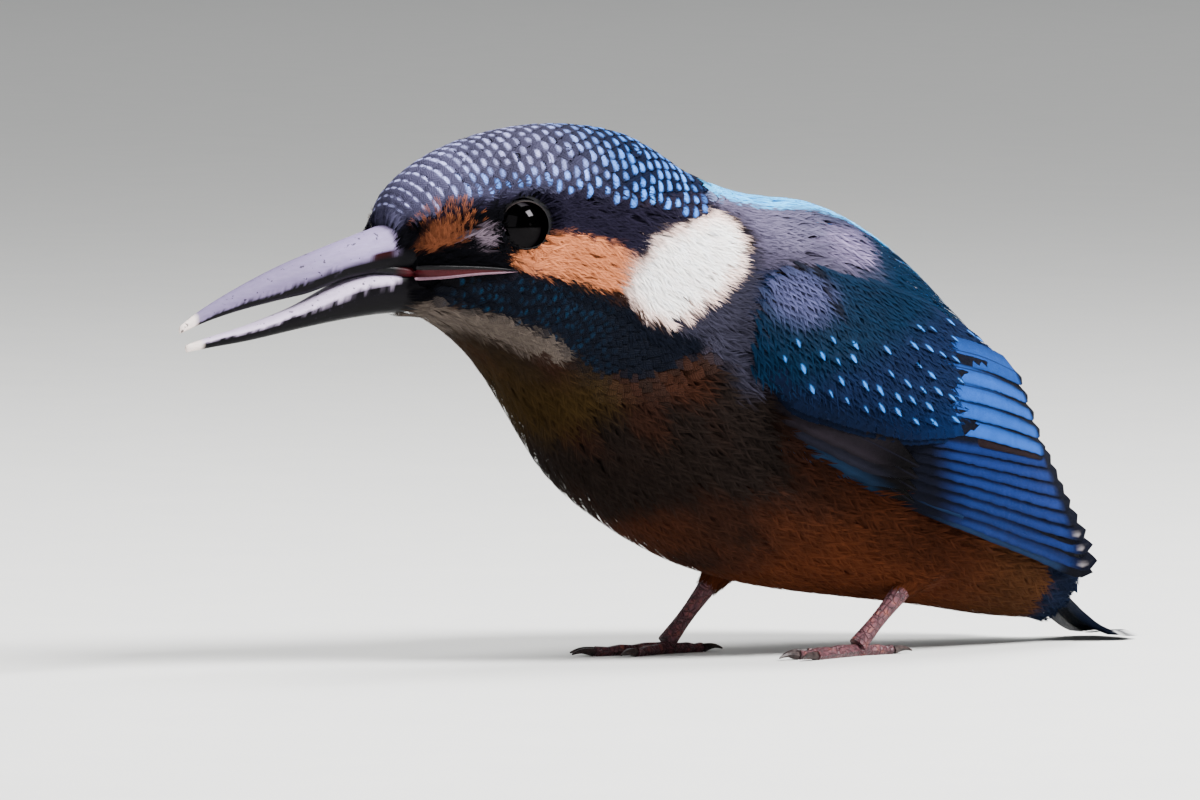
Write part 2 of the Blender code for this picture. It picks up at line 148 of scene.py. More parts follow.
class KingfisherSizes(bpy.types.PropertyGroup):
    """Sizes of the feathers and of the bare parts."""

    eye_opening: in_mm("Eye opening", "Radius of the eye left open by its lids", 3.35, 3.0, 3.9)
    bill_tip: in_mm("Bill tips", "Length of the pale worn tips of the bill", 2.3, 0.2, 8)
    crown_length: in_mm("Crown feathers", "Length of the crown's feathers", 5.0, 3, 8)
    crown_bar: in_mm("Crown bars", "Thickness of the pale bar on each crown feather", 0.78, 0.2, 2)
    cheek_length: in_mm("Cheek feathers", "Length of the cheek's feathers", 3.0, 1.5, 5)
    neck_length: in_mm("Neck patch feathers", "Length of the feathers of the white neck patch", 4.4, 2, 8)
    breast_length: in_mm("Breast feathers", "Length of the breast's feathers", 4.6, 3, 8)
    belly_length: in_mm("Belly feathers", "Length of the belly's and the flanks' feathers", 6.0, 3, 10)
    down_gap: in_mm("Down spacing", "Gap between the feathers of the breast and the belly", 0.8, 0.75, 3)
    back_length: in_mm("Back feathers", "Length of the feathers of the mantle and the back", 5.4, 3, 9)
    covert_length: in_mm("Wing coverts", "Length of the wing's small feathers", 4.6, 3, 8)
    covert_spot: in_mm("Wing spots", "Width of the pale drops on the wing's small feathers", 0.38, 0.1, 1)
    flight_width: in_mm("Flight feathers", "Width of the secondaries", 5.6, 3, 8)
    tail_width: in_mm("Tail feathers", "Width of each tail feather", 3.4, 2, 6)
    floor_side: in_mm("Floor", "Side of the floor", 16000, 1000, 40000)


class KingfisherColours(bpy.types.PropertyGroup):
    """Colours of the plumage and of the bare parts."""

    crown_front: colour("Forehead", "Ground of the forehead and the fore crown", 60, 58, 78)
    crown_back: colour("Crown", "Ground of the hind crown", 8, 15, 36)
    bar_front: colour("Forehead bars", "Bars of the forehead's feathers", 150, 152, 200)
    bar_back: colour("Crown bars", "Bars of the hind crown's feathers", 62, 126, 218)
    ear: colour("Ear band", "Dark band from the eye to the nape", 27, 24, 38)
    lore: colour("Lore", "Rust patch before the eye", 112, 63, 40)
    mask: colour("Mask", "Black skin and feathers round the eye and along the gape", 5, 5, 8)
    lavender: colour("Lavender spot", "Pale spot before the eye", 126, 110, 122)
    cheek: colour("Cheek", "Orange cheek", 202, 120, 77)
    white: colour("Neck patch", "White patch beside the neck", 255, 250, 245)
    malar: colour("Moustache", "Dark stripe below the cheek", 9, 12, 20)
    malar_spot: colour("Moustache bars", "Bars of the stripe's feathers", 11, 46, 70)
    throat: colour("Throat", "Pale stripe of the throat", 82, 73, 66)
    chin: colour("Lower throat", "Olive feathers below the throat", 44, 32, 14)
    breast: colour("Breast", "Dusky breast", 26, 20, 17)
    rust: colour("Breast edges", "Warmer feathers of the breast", 54, 27, 15)
    # Belly and under tail: darker than their own orange, partly painted shade on the shadowed underside.
    belly: colour("Belly", "Orange belly and flanks", 74, 37, 19)
    undertail: colour("Under tail", "Feathers below the tail", 64, 38, 20)
    neck_side: colour("Neck side", "Slate side of the neck before the wing", 44, 43, 55)
    mantle_front: colour("Mantle", "Grey-brown feathers behind the neck", 92, 86, 108)
    mantle_back: colour("Scapulars", "Teal feathers above the wing", 4, 26, 46)
    # The shoulder's pale sheen is painted into the plumage's colour.
    lilac: colour("Shoulder sheen", "Pale sheen on the shoulder", 140, 124, 160)
    back: colour("Back", "Bright stripe down the back", 66, 188, 255)
    rump: colour("Rump", "Lower end of the back's stripe", 40, 140, 225)
    # The bend's lavender is partly a painted sheen on its bulge.
    bend: colour("Wing bend", "Lavender feathers at the bend of the wing", 64, 66, 98)
    covert: colour("Wing coverts", "Ground of the wing's small feathers", 12, 24, 49)
    covert_spot: colour("Wing spots", "Drops at the tips of the wing's small feathers", 50, 128, 218)
    greater: colour("Greater coverts", "Lowest row of the wing's covering feathers", 10, 30, 66)
    flight: colour("Flight feathers", "Outer webs of the long feathers", 21, 37, 84)
    tertial: colour("Tertials", "The bright long feathers next to the back", 27, 68, 136)
    flight_low: colour("Lower flight feathers", "Outer webs of the lowest long feathers", 24, 44, 76)
    flight_dark: colour("Inner webs", "Inner webs and tips of the long feathers", 8, 10, 20)
    flight_brown: colour("Worn feather", "The one brown long feather", 26, 18, 20)
    alula: colour("Thumb feathers", "Brown feathers along the wing's lower front", 28, 24, 29)
    alula_edge: colour("Thumb edges", "Teal edges of those feathers", 17, 40, 64)
    tail: colour("Tail", "Upper side of the tail", 18, 26, 44)
    # The bill's pale lavender top is a painted sheen on the dark horn.
    bill_ridge: colour("Bill ridge", "Upper side of the bill", 128, 116, 150)
    bill_dark: colour("Bill", "Dark horn of the bill", 8, 7, 10)
    bill_edge: colour("Bill edge", "Pale upper edge of the lower mandible", 200, 184, 212)
    lip: colour("Lips", "Soft edge of the gape", 112, 86, 98)
    bill_tip: colour("Bill tips", "Worn tips of the young bird's bill", 240, 225, 215)
    bill_nostril: colour("Mouth", "Inside of the mouth and the nostrils", 62, 10, 18)
    iris: colour("Iris", "Ring round the pupil", 4, 4, 5)
    lid: colour("Lid", "Rim of the upper lid", 150, 110, 100)


def sizes():
    """The sizes as they are set, by name, in millimetres."""
    group = bpy.context.scene.kingfisher_sizes
    return {name: getattr(group, name) / MM for name in KingfisherSizes.__annotations__}


def tones():
    """The colours as they are set, by name."""
    group = bpy.context.scene.kingfisher_colours
    return {name: np.array(getattr(group, name)) for name in KingfisherColours.__annotations__}


def eased(rows, at):
    """A smooth curve through rows of numbers, read at places counted in rows."""
    rows = np.array(rows, float)
    rows = rows.reshape(len(rows), -1)
    slopes = np.gradient(rows, axis=0)
    at = np.asarray(at, float)
    row = np.clip(np.floor(at).astype(int), 0, len(rows) - 2)
    t = (at - row)[:, None]
    return (rows[row] * (1 + 2 * t) * (1 - t) ** 2 + rows[row + 1] * t * t * (3 - 2 * t)
            + slopes[row] * t * (1 - t) ** 2 - slopes[row + 1] * t * t * (1 - t))


def even_out(values, times=1):
    """Evens out the rows of a net with their neighbours, in place. The first and the last row stay."""
    for _ in range(times):
        values[1:-1] = (values[:-2] + 2 * values[1:-1] + values[2:]) / 4


def read_net(net, rows, columns):
    """A net's value at places counted in rows and columns. Its last column is next to its first."""
    count = net.shape[1]
    rows = np.clip(rows, 0, net.shape[0] - 1.001)
    i, j = np.floor(rows).astype(int), np.floor(columns).astype(int)
    f, g = (rows - i)[..., None], (columns - j)[..., None]
    j, k = j % count, (j + 1) % count
    return ((net[i, j] * (1 - g) + net[i, k] * g) * (1 - f)
            + (net[i + 1, j] * (1 - g) + net[i + 1, k] * g) * f)


def net_cells(rows, columns):
    """Row and column of each cell of a net."""
    return (grid.ravel() for grid in np.meshgrid(np.arange(rows), np.arange(columns), indexing="ij"))


def net_faces(rows, columns, closed=True, turned=False):
    """Triangles of a net of points, which closes into a tube unless told otherwise."""
    i, j = net_cells(rows - 1, columns if closed else columns - 1)
    a, b = i * columns + j, i * columns + (j + 1) % columns
    faces = np.concatenate((np.stack((a, b, b + columns), 1), np.stack((a, b + columns, a + columns), 1)))
    return faces[:, ::-1] if turned else faces


def ring_angles(count):
    """Even angles round a ring."""
    return np.arange(count) / count * 2 * math.pi


def unit(vectors):
    """The vectors at length one."""
    return vectors / np.maximum(np.linalg.norm(vectors, axis=-1, keepdims=True), 1e-9)


def step(low, high, value):
    """0 below low, 1 above high and smooth between."""
    t = np.clip((value - low) / (high - low), 0, 1)
    return t * t * (3 - 2 * t)


def eye_frame(side):
    """An eye's middle, the way it looks, the way to the bill and the way up over its lids."""
    axis = unit(np.array(EYE_AXIS) * (side, 1, 1))
    above = unit(np.array((0, 0, 1.0)) - axis * axis[2])
    before = np.cross(above, axis) * side
    return np.array((EYE_SIDE * side, -EYE[0], EYE[1])), axis, before * (-1 if before[1] > 0 else 1), above


def side_view(points):
    """(ahead, up) of points."""
    return np.stack((-points[..., 1], points[..., 2]), -1)


def distance_in(places, outline):
    """How far places of the side view are inside an outline, negative outside it."""
    start = np.array(outline)
    edge = np.roll(start, -1, 0) - start
    gap = places[:, None, :] - start
    along = np.clip((gap * edge).sum(-1) / (edge ** 2).sum(-1), 0, 1)
    near = np.linalg.norm(gap - along[..., None] * edge, axis=-1).min(1)
    rises = (start[:, 1] <= places[:, 1:2]) != ((start + edge)[:, 1] <= places[:, 1:2])
    left = (gap[..., 1] * edge[:, 0] / np.where(edge[:, 1] == 0, 1e-9, edge[:, 1])) > gap[..., 0]
    return np.where((rises & left).sum(1) % 2 == 1, near, -near)


def inside(points, outline, soft=0.0, shift=0.0):
    """How much points lie inside an outline of the side view, grown by shift, from 0 to 1."""
    depth = distance_in(side_view(points), outline) + shift
    return step(-soft, soft, depth) if soft else (depth > 0).astype(float)


def ripple(points, size, seed):
    """Smooth random numbers, mostly from -1 to 1, that change over about that size."""
    rng = np.random.default_rng(seed)
    total = 0.0
    for _ in range(5):
        wave = unit(rng.normal(size=3)) * rng.uniform(0.7, 1.4) * 2 * math.pi / size
        total = total + np.sin(points @ wave + rng.uniform(0, 6.28))
    return total / 3.2


def node_mesh(names):
    """Points and triangles of solids, by their nodes' names."""
    points, faces = [], []
    for name in names:
        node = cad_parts[name]
        mesh = node.data
        co = np.empty(len(mesh.vertices) * 3, np.float32)
        mesh.vertices.foreach_get("co", co)
        world = np.array(node.matrix_world)
        co = co.reshape(-1, 3) @ world[:3, :3].T + world[:3, 3]
        mesh.calc_loop_triangles()
        tri = np.empty(len(mesh.loop_triangles) * 3, np.int32)
        mesh.loop_triangles.foreach_get("vertices", tri)
        faces.append(tri.reshape(-1, 3) + sum(map(len, points)))
        points.append(co / MM - ORIGIN)
    return np.concatenate(points), np.concatenate(faces)


class Surface:
    """A skin round the bird as a grid of points, along the body and round it."""

    def __init__(self, points):
        self.points = points
        along = np.gradient(points, axis=0)
        across = (np.roll(points, -1, 1) - np.roll(points, 1, 1)) / 2
        self.normals = unit(np.cross(across, along))
        if (self.normals * (points - points.mean(1, keepdims=True))).sum() < 0:
            self.normals *= -1
        self.lie = unit(along)

    def at(self, rows, columns):
        return read_net(self.points, rows, columns)

    def normal(self, rows, columns):
        return unit(read_net(self.normals, rows, columns))

    def lying(self, rows, columns):
        """The way from bill to tail along the skin."""
        return unit(read_net(self.lie, rows, columns))


class Hide:
    """The skin and the coat's outside, measured from the solids."""

    ROWS, COLUMNS = 240, 192
    FAR = 45.0                      # where the rays that find the outside start
    SOCKET, SOCKET_DEEP = 5.6, 2.0  # an eye socket's radius, and how near the middle plane it may reach

    def __init__(self):
        lines = eased(SECTIONS, np.linspace(0, len(SECTIONS) - 1, self.ROWS))
        self.back, self.breast = lines[:, :2], lines[:, 2:]
        middle = (self.back + self.breast) / 2
        rise = unit(self.back - self.breast)
        self.centre = np.stack((np.zeros(self.ROWS), -middle[:, 0], middle[:, 1]), 1)
        self.rise = np.stack((np.zeros(self.ROWS), -rise[:, 0], rise[:, 1]), 1)
        angles = ring_angles(self.COLUMNS)
        self.rays = (np.cos(angles)[None, :, None] * np.array((1.0, 0, 0))
                     + np.sin(angles)[None, :, None] * self.rise[:, None, :])
        body = ["head", "neck", "trunk", "rump", "thigh_left", "thigh_right"]
        body += [f"wing_{side}_coverts" for side in SIDES]
        flight = [f"wing_{side}_{part}" for side in SIDES for part in ("secondaries", "primaries")]
        outer = self.close_sockets(self.cast(body + flight))
        inner = self.close_sockets(self.cast(body))
        depth = eased(COAT_DEPTH, np.linspace(0, len(COAT_DEPTH) - 1, self.ROWS))
        self.coat = Surface(self.centre[:, None] + self.rays * outer[..., None])
        self.flesh = Surface(self.set_eyes(self.centre[:, None] + self.rays * (inner - depth)[..., None]))

    def cast(self, names):
        """How far the outside of these solids is from the body's middle, along each ray."""
        tree = BVHTree.FromPolygons(*(part.tolist() for part in node_mesh(names)))
        reach = np.full((self.ROWS, self.COLUMNS), np.nan)
        starts = self.centre[:, None] + self.rays * self.FAR
        for i in range(self.ROWS):
            for j in range(self.COLUMNS):
                hit = tree.ray_cast(Vector(starts[i, j]), Vector(-self.rays[i, j]), self.FAR)
                if hit[0] is not None:
                    reach[i, j] = self.FAR - hit[3]
        rows = np.arange(self.ROWS)
        for j in range(self.COLUMNS):
            known = ~np.isnan(reach[:, j])
            reach[:, j] = np.interp(rows, rows[known], reach[known, j])
        # The thin gaps between the solids are closed, and the facets smoothed.
        for axis in (0, 1):
            near = [np.roll(reach, k, axis) for k in range(-3, 4)]
            smooth = np.median(near, 0)
            if axis == 0:
                smooth[:3], smooth[-3:] = reach[:3], reach[-3:]
            reach = smooth
        for _ in range(3):
            reach = (np.roll(reach, 1, 1) + 2 * reach + np.roll(reach, -1, 1)) / 4
            even_out(reach)
        return reach

    def close_sockets(self, reach):
        """The face's surface carried smoothly across both eye sockets."""
        points = self.centre[:, None] + self.rays * reach[..., None]
        away = np.hypot(-points[..., 1] - EYE[0], points[..., 2] - EYE[1])
        rows, columns = np.nonzero((away < self.SOCKET) & (np.abs(points[..., 0]) > self.SOCKET_DEEP))
        for _ in range(900):
            near = (reach[rows - 1, columns] + reach[rows + 1, columns]
                    + reach[rows, columns - 1] + reach[rows, (columns + 1) % self.COLUMNS])
            reach[rows, columns] = near / 4
        return reach

    def set_eyes(self, points):
        """Draws the skin up to the lids' rim round each eyeball, and in behind it."""
        opening = sizes()["eye_opening"]
        slope, behind = 2.2, 1.2        # how wide the rise to the rim is, and how deep the skin lies in it
        for side in SIDES.values():
            centre, axis = eye_frame(side)[:2]
            off = points - centre
            out = off @ axis
            away = np.linalg.norm(off - out[..., None] * axis, axis=-1)
            ball = np.sqrt(np.maximum(EYE_RADIUS ** 2 - away ** 2, 0))
            rim = math.sqrt(EYE_RADIUS ** 2 - opening ** 2) - 0.1
            near = 1 - step(opening, opening + slope, away)
            wanted = out * (1 - near) + np.minimum(rim, ball) * near
            wanted = np.where(away < opening, ball - behind, wanted)
            moved = points + axis * (wanted - out)[..., None]
            points = np.where((out > -1.0)[..., None], moved, points)
        return points

    def locate(self, points):
        """Row and column of the skin's net at points."""
        places = side_view(points)
        line = self.back - self.breast
        gap = places[:, None, :] - self.breast
        turn = line[:, 0] * gap[..., 1] - line[:, 1] * gap[..., 0]
        passed = turn < 0
        first = np.where(passed.any(1), passed.argmax(1), self.ROWS - 1)
        first = np.clip(first, 1, self.ROWS - 1)
        pick = np.arange(len(points))
        after, before = turn[pick, first], turn[pick, first - 1]
        share = np.clip(before / np.where(before == after, 1, before - after), 0, 1)
        rows = first - 1 + share
        low = np.clip(np.floor(rows).astype(int), 0, self.ROWS - 2)
        part = (rows - low)[:, None]
        centre = self.centre[low] * (1 - part) + self.centre[low + 1] * part
        rise = unit(self.rise[low] * (1 - part) + self.rise[low + 1] * part)
        upward = ((points - centre) * rise).sum(1)
        return rows, np.arctan2(upward, points[:, 0]) / (2 * math.pi) * self.COLUMNS % self.COLUMNS

    def hug(self, points, share, lift=0.0):
        """Points moved between the skin (share 0) and the coat's outside (share 1), and their outward."""
        rows, columns = self.locate(points)
        share = np.broadcast_to(share, rows.shape)[:, None]
        outward = self.coat.normal(rows, columns)
        low, high = self.flesh.at(rows, columns), self.coat.at(rows, columns)
        lift = np.broadcast_to(lift, rows.shape)[:, None]
        return low * (1 - share) + high * share + outward * lift, outward

    def from_side(self, places, side, surface):
        """Points of a surface seen at places (ahead, up) from the left (1) or the right (-1)."""
        places = np.atleast_2d(places)
        points = np.stack((np.full(len(places), side * 12.0), -places[:, 0], places[:, 1]), 1)
        # A few rounds close in on the surface.
        for _ in range(6):
            rows, columns = self.locate(points)
            points[:, 0] = surface.at(rows, columns)[:, 0]
        return points


class Build:
    """What the pieces share: the measured surfaces, made when first asked for."""

    hide = None
    wings = {}
    # A wing's net in the side view, one millimetre apart: its corner (ahead, up), rows and columns.
    WING_AHEAD, WING_UP, WING_ROWS, WING_COLUMNS = -56, 8.0, 76, 56
    OUTSIDE, NEAR_WING = 50, 12     # how far out the rays start, and about where a wing is

    @classmethod
    def wing(cls, side, places):
        """How far out a wing's smoothed outside is at places of the side view."""
        if side not in cls.wings:
            title = next(name for name, sign in SIDES.items() if sign == side)
            names = [f"wing_{title}_{part}" for part in ("coverts", "secondaries", "primaries")]
            tree = BVHTree.FromPolygons(*(part.tolist() for part in node_mesh(names)))
            reach = np.zeros((cls.WING_ROWS, cls.WING_COLUMNS))
            for i in range(cls.WING_ROWS):
                for j in range(cls.WING_COLUMNS):
                    place = (-cls.WING_AHEAD - i, j + cls.WING_UP)
                    hit = tree.ray_cast(Vector((side * cls.OUTSIDE, *place)), Vector((-side, 0, 0)))[0]
                    if hit is None:
                        hit = tree.find_nearest(Vector((side * cls.NEAR_WING, *place)))[0]
                    reach[i, j] = hit.x
            for _ in range(6):
                even_out(reach)
                even_out(reach.T)
            cls.wings[side] = reach[..., None]
        columns = np.clip(places[:, 1] - cls.WING_UP, 0, cls.WING_COLUMNS - 1.01)
        return read_net(cls.wings[side], places[:, 0] - cls.WING_AHEAD, columns)

    @classmethod
    def surfaces(cls):
        if cls.hide is None:
            cls.hide = Hide()
        return cls.hide


# ------------------------------------------------------------------ markings
def mixed(ground, tone, share):
    """A colour between two others, by share."""
    return ground + (tone - ground) * np.asarray(share)[..., None]


def markings(points, wing=True):
    """The coat's ground colour at points. Skin and feathers both take it."""
    ahead, up, width = -points[:, 1], points[:, 2], np.abs(points[:, 0])
    places = side_view(points)
    paint = tones()
    ragged = ripple(points, 2.4, 3) * 0.5
    broad = ripple(points, 9.0, 5)

    def field(over, outline, soft, rough=1.0, share=1.0):
        """The tone so far with a colour laid over one field, which ends softly and ragged."""
        return mixed(tone, over, inside(points, outline, soft, ragged * rough) * share)

    # The underside: breast, belly, and a painted shadow in a strip under the wing.
    tone = mixed(paint["breast"], paint["rust"], step(-0.1, 0.9, broad) * 0.4)
    low = step(-10, 8, (22 - up) * 0.55 - ahead * 0.75 + ragged * 3 + broad * 2)
    tone = mixed(tone, paint["belly"], low)
    tone = mixed(tone, paint["belly"], step(9, 3, np.hypot(ahead - 20, (up - 16) * 1.3) + ragged) * 0.45)
    tone = mixed(tone, paint["undertail"], low * step(-24, -40, ahead))
    # Painted shadow: the coat is darkened to under half near and just below the wing.
    wing_shadow = step(-9.5, -4.5, distance_in(places, WING)) * step(16, 6, ahead) * step(-40, -18, ahead)
    tone = tone * (1 - 0.55 * wing_shadow)[:, None]
    tone = field(paint["rust"], NECK_RUST, 2.0, share=0.6)
    tone = field(paint["chin"], CHIN, 3.0)
    tone = field(paint["ear"], HEAD, 1.0)
    tone = field(paint["neck_side"], NECK_SIDE, 1.6)
    # The upper side: mantle, a painted sheen on the shoulder and the bright stripe down the back.
    mantle = mixed(paint["mantle_front"], paint["mantle_back"], step(4, -16, ahead + broad * 3))
    mantle = mantle * (1 - 0.5 * step(58.5, 54.5, up) * step(-16, 0, ahead))[:, None]
    # Painted sheen: a pale lilac patch over the shoulder, broken up by ripples.
    lilac = step(6.5, 2.0, np.hypot(ahead + 7.5, (up - 56.2) * 1.6))
    mantle = mixed(mantle, paint["lilac"], lilac * (0.45 + 0.35 * ripple(points, 2.0, 6)))
    tone = field(mantle, MANTLE, 1.2)
    tone = field(paint["mantle_back"], RUMP_SIDE, 1.5)
    stripe = step(7.8, 6.0, width + ragged) * step(15, 12, ahead) * (up > 57 + np.minimum(ahead, 0) * 0.75)
    stripe = stripe * np.maximum(inside(points, MANTLE, 1.5), inside(points, RUMP_SIDE, 1.5))
    tone = mixed(tone, mixed(paint["back"], paint["rump"], step(-12, -40, ahead)), stripe)
    # The head, from the crown down to the throat.
    brow = step(69, 65.8, up) * step(57, 50, ahead) * 0.2
    # Towards the bill the forehead is painted up to twice as bright: painted light, as it faces away from the
    # key lamp.
    fore = (0.8 + 0.8 * step(46, 58, ahead))[:, None]
    hind = np.maximum(step(42, 26, ahead), brow)
    tone = field(mixed(paint["crown_front"] * fore, paint["crown_back"], hind), CROWN, 0.5, 0.6)
    tone = field(paint["ear"], EAR, 0.6, 0.6)
    tone = field(paint["throat"], THROAT, 0.6)
    tone = field(paint["mask"], EYE_MASK, 0.5, 0.4)
    tone = field(paint["lore"], LORE, 0.6, 0.8)
    spot = step(1.3, 0.5, np.hypot((ahead - 51.2) / 1.2, (up - 58.8) / 1.5))
    tone = mixed(tone, paint["lavender"], spot * 0.8)
    tone = field(paint["malar"], MALAR, 0.6, 0.5)
    tone = field(mixed(paint["cheek"], paint["white"], step(31, 27, ahead) * 0.3), CHEEK, 0.5, 0.5)
    tone = field(paint["mask"], JAW, 0.5, 0.3)
    tone = mixed(tone, paint["tail"], step(-43.2, -46.0, ahead + ragged * 1.5) * (up < 26))
    white = mixed(paint["white"], paint["cheek"], step(2.2, 0.2, distance_in(places, WHITE)) * 0.5)
    tone = field(white, WHITE, 0.4, 0.6)
    # Painted shadow: the mask's black along the fold over the wing's bend.
    tone = mixed(tone, paint["mask"], fold_shadow(points))
    return mixed(tone, paint["covert"], inside(points, WING, 0.8)) if wing else tone


# ------------------------------------------------------------------ feathers
class Template:
    """A feather's net: place along the shaft (0 to 1), across (-1 to 1), which barb, and triangles."""

    def __init__(self, along, across, barb, faces):
        self.along, self.across, self.barb = np.array(along), np.array(across), np.array(barb)
        self.faces = np.array(faces)

    @classmethod
    def vane(cls, rows, columns, tip, root=0.2, slant=0.0):
        """A closed web with a rounded tip, cut at a slant if that isn't 0."""
        web = np.minimum(1, (rows / root + 0.12)) ** 0.7
        web = web * np.maximum(1 - np.clip((rows - 1 + tip) / tip, 0, 1) ** 2, 0.06) ** 0.5
        xs = np.linspace(-1, 1, columns)
        rise = np.repeat(rows, columns)
        swept = 0.02 if slant else 0.10
        along = rise - swept * np.tile(xs ** 2, len(rows)) * rise
        along = along - np.tile(xs, len(rows)) * slant * rise ** 6
        across = (web[:, None] * xs).ravel()
        faces = []
        for a in (i * columns + j for i in range(len(rows) - 1) for j in range(columns - 1)):
            faces += [(a, a + 1, a + columns + 1), (a, a + columns + 1, a + columns)]
        return cls(along, across, np.repeat(np.arange(len(rows)), columns), faces)

    @classmethod
    def plume(cls, pairs, run, barb):
        """A soft feather: a thin shaft, and pairs of loose barbs that leave it at a low angle."""
        along, across, lock, faces = [], [], [], []

        def strand(number, *points):
            """The shaft or a barb: two points at its root, two midway and one at its tip."""
            first = len(along)
            along.extend(t for t, _ in points)
            across.extend(x for _, x in points)
            lock.extend([number] * len(points))
            faces.extend((first + a, first + b, first + c) for a, b, c in ((0, 1, 3), (0, 3, 2), (2, 3, 4)))

        strand(0, (0, -0.05), (0, 0.05), (0.55, -0.04), (0.55, 0.04), (1, 0))
        for i in range(pairs):
            t = 0.02 + (0.94 - run * 0.5) * i / pairs
            reach = (0.55 + 0.9 * min(t, 0.5)) * (1 - max(0, (t - 0.5) / 0.5) ** 2 * 0.6)
            end = min(1.0, t + run * (1.1 - 0.4 * t))
            half = t + (end - t) * 0.5
            for side in (-1, 1):
                x = side * reach
                strand(2 * i + (side > 0) + 1, (t, 0), (t + barb, 0), (half, x * 0.66),
                       (half + barb * 0.9, x * 0.58), (end, x))
        return cls(along, across, lock, faces)


class Shafts:
    """The courses of many feathers: points from root to tip and the outward at each."""

    def __init__(self, points, outward, roots):
        self.points, self.outward, self.roots = points, outward, roots

    @property
    def shown(self):
        """The part of each feather that its neighbours leave in sight."""
        return self.points[:, -2]

    def take(self, pick):
        return Shafts(self.points[pick], self.outward[pick], self.roots[pick])


def run_shafts(roots, heading, length, steps, share=(0.0, 1.0), lift=(0.0, 0.0)):
    """Shafts from roots. heading(points, outward) gives each one's course at every step.

    share and lift are for the root and the tip: how far out in the coat, and how far above that.
    """
    hide = Build.surfaces()
    length = np.broadcast_to(length, len(roots))[:, None]
    low, high = (np.broadcast_to(value, len(roots)) for value in share)
    points, outward = hide.hug(roots, low, lift[0])
    course, outs = [points], [outward]
    for k in range(1, steps + 1):
        t = k / steps
        forward = heading(points, outward)
        forward = unit(forward - outward * (forward * outward).sum(1, keepdims=True))
        rise = np.sin(t * math.pi / 2)
        points, outward = hide.hug(points + forward * length / steps, low + (high - low) * rise,
                                   lift[0] + (lift[1] - lift[0]) * t * t)
        course.append(points)
        outs.append(outward)
    return Shafts(np.stack(course, 1), np.stack(outs, 1), roots)


def along_body(tilt, sway, seed):
    """A heading from bill to tail, turned towards the back by tilt degrees, with random sway."""
    rng = np.random.default_rng(seed)
    turns = {}
    near, far, push_by = 3.2, 6.0, 1.6      # how feathers part round an eye

    def heading(points, outward):
        hide = Build.surfaces()
        rows, columns = hide.locate(points)
        lie = hide.coat.lying(rows, columns)
        if "turn" not in turns:
            turns["turn"] = np.radians(tilt + rng.normal(size=len(points)) * sway)
        for side in SIDES.values():
            centre, axis = eye_frame(side)[:2]
            off = points - centre
            off = off - (off @ axis)[:, None] * axis
            away = np.linalg.norm(off, axis=1, keepdims=True)
            push = step(far, near, away) * (points[:, :1] * side > 4) * push_by
            lie = unit(lie + off / np.maximum(away, 0.1) * push)
        angle = turns["turn"][:, None]
        upward = np.cross(outward, lie)
        upward = upward * np.where(upward[:, 2:] < 0, -1, 1)
        return lie * np.cos(angle) + upward * np.sin(angle)

    return heading


class Coat:
    """Feathers gathered into one mesh, with their colours and both unwraps."""

    def __init__(self):
        self.points, self.faces, self.tones, self.vane, self.bake = [], [], [], [], []
        self.count = 0

    PATCH = 0.003       # size of each feather's patch on the bake map

    def add(self, template, shafts, width, tones, arch, ragged, streak, seed):
        """One feather of the template on each shaft. tones is (feathers, points, 3)."""
        rng = np.random.default_rng(seed)
        n, knots = shafts.points.shape[:2]
        width = np.broadcast_to(width, n)[:, None]

        def per_barb(amount):
            return rng.uniform(-amount, amount, (n, template.barb.max() + 1))[:, template.barb]

        wider, longer = per_barb(1) * ragged, per_barb(1) * ragged
        t = np.clip(template.along + longer * 0.25 * template.along, 0, 1.08)
        place = t * (knots - 1)
        low = np.clip(np.floor(place).astype(int), 0, knots - 2)
        part = (place - low)[..., None]
        pick = np.arange(n)[:, None]

        def on_shaft(values):
            return values[pick, low] * (1 - part) + values[pick, low + 1] * part

        points, outward = on_shaft(shafts.points), on_shaft(shafts.outward)
        course = unit(on_shaft(np.gradient(shafts.points, axis=1)))
        across = unit(np.cross(outward, course))
        outward = np.cross(course, across)
        reach = template.across * (1 + wider)
        tones = tones * (1 + per_barb(streak))[..., None]
        points = points + across * (reach * (width / 2))[..., None]
        points = points - outward * (arch * width * reach ** 2 * 0.5)[..., None]
        u, v = bake_place(shafts.roots)
        bake = np.stack((u[:, None] + self.PATCH * reach * 0.5, v[:, None] + self.PATCH * (t - 0.5)), -1)
        vane = np.broadcast_to(np.stack((template.across * 0.5 + 0.5, template.along), -1), (*t.shape, 2))
        size = len(template.along)
        self.points.append(points.reshape(-1, 3))
        self.tones.append(np.broadcast_to(tones, points.shape).reshape(-1, 3))
        self.vane.append(vane.reshape(-1, 2))
        self.bake.append(bake.reshape(-1, 2))
        first = (np.arange(n) * size)[:, None, None] + self.count
        self.faces.append((template.faces[None] + first).reshape(-1, 3))
        self.count += n * size

    def build(self, name, finish):
        """The mesh object of all the feathers so far."""
        return make_piece(name, np.concatenate(self.points), np.concatenate(self.faces), finish,
                          tones=np.concatenate(self.tones), vane=np.concatenate(self.vane),
                          bake=np.clip(np.concatenate(self.bake), 0.001, 0.999))


MARGIN = 0.01       # kept free along the edges of the bake maps
CUT = 0.25          # share of a turn from the left side to the breast, where the unwrap is cut open


def bake_place(points):
    """Where points are on a coat's bake map: round the body and along it."""
    hide = Build.surfaces()
    rows, columns = hide.locate(points)
    around = (columns / hide.COLUMNS + CUT) % 1
    return MARGIN + 0.98 * around, MARGIN + 0.98 * rows / (hide.ROWS - 1)


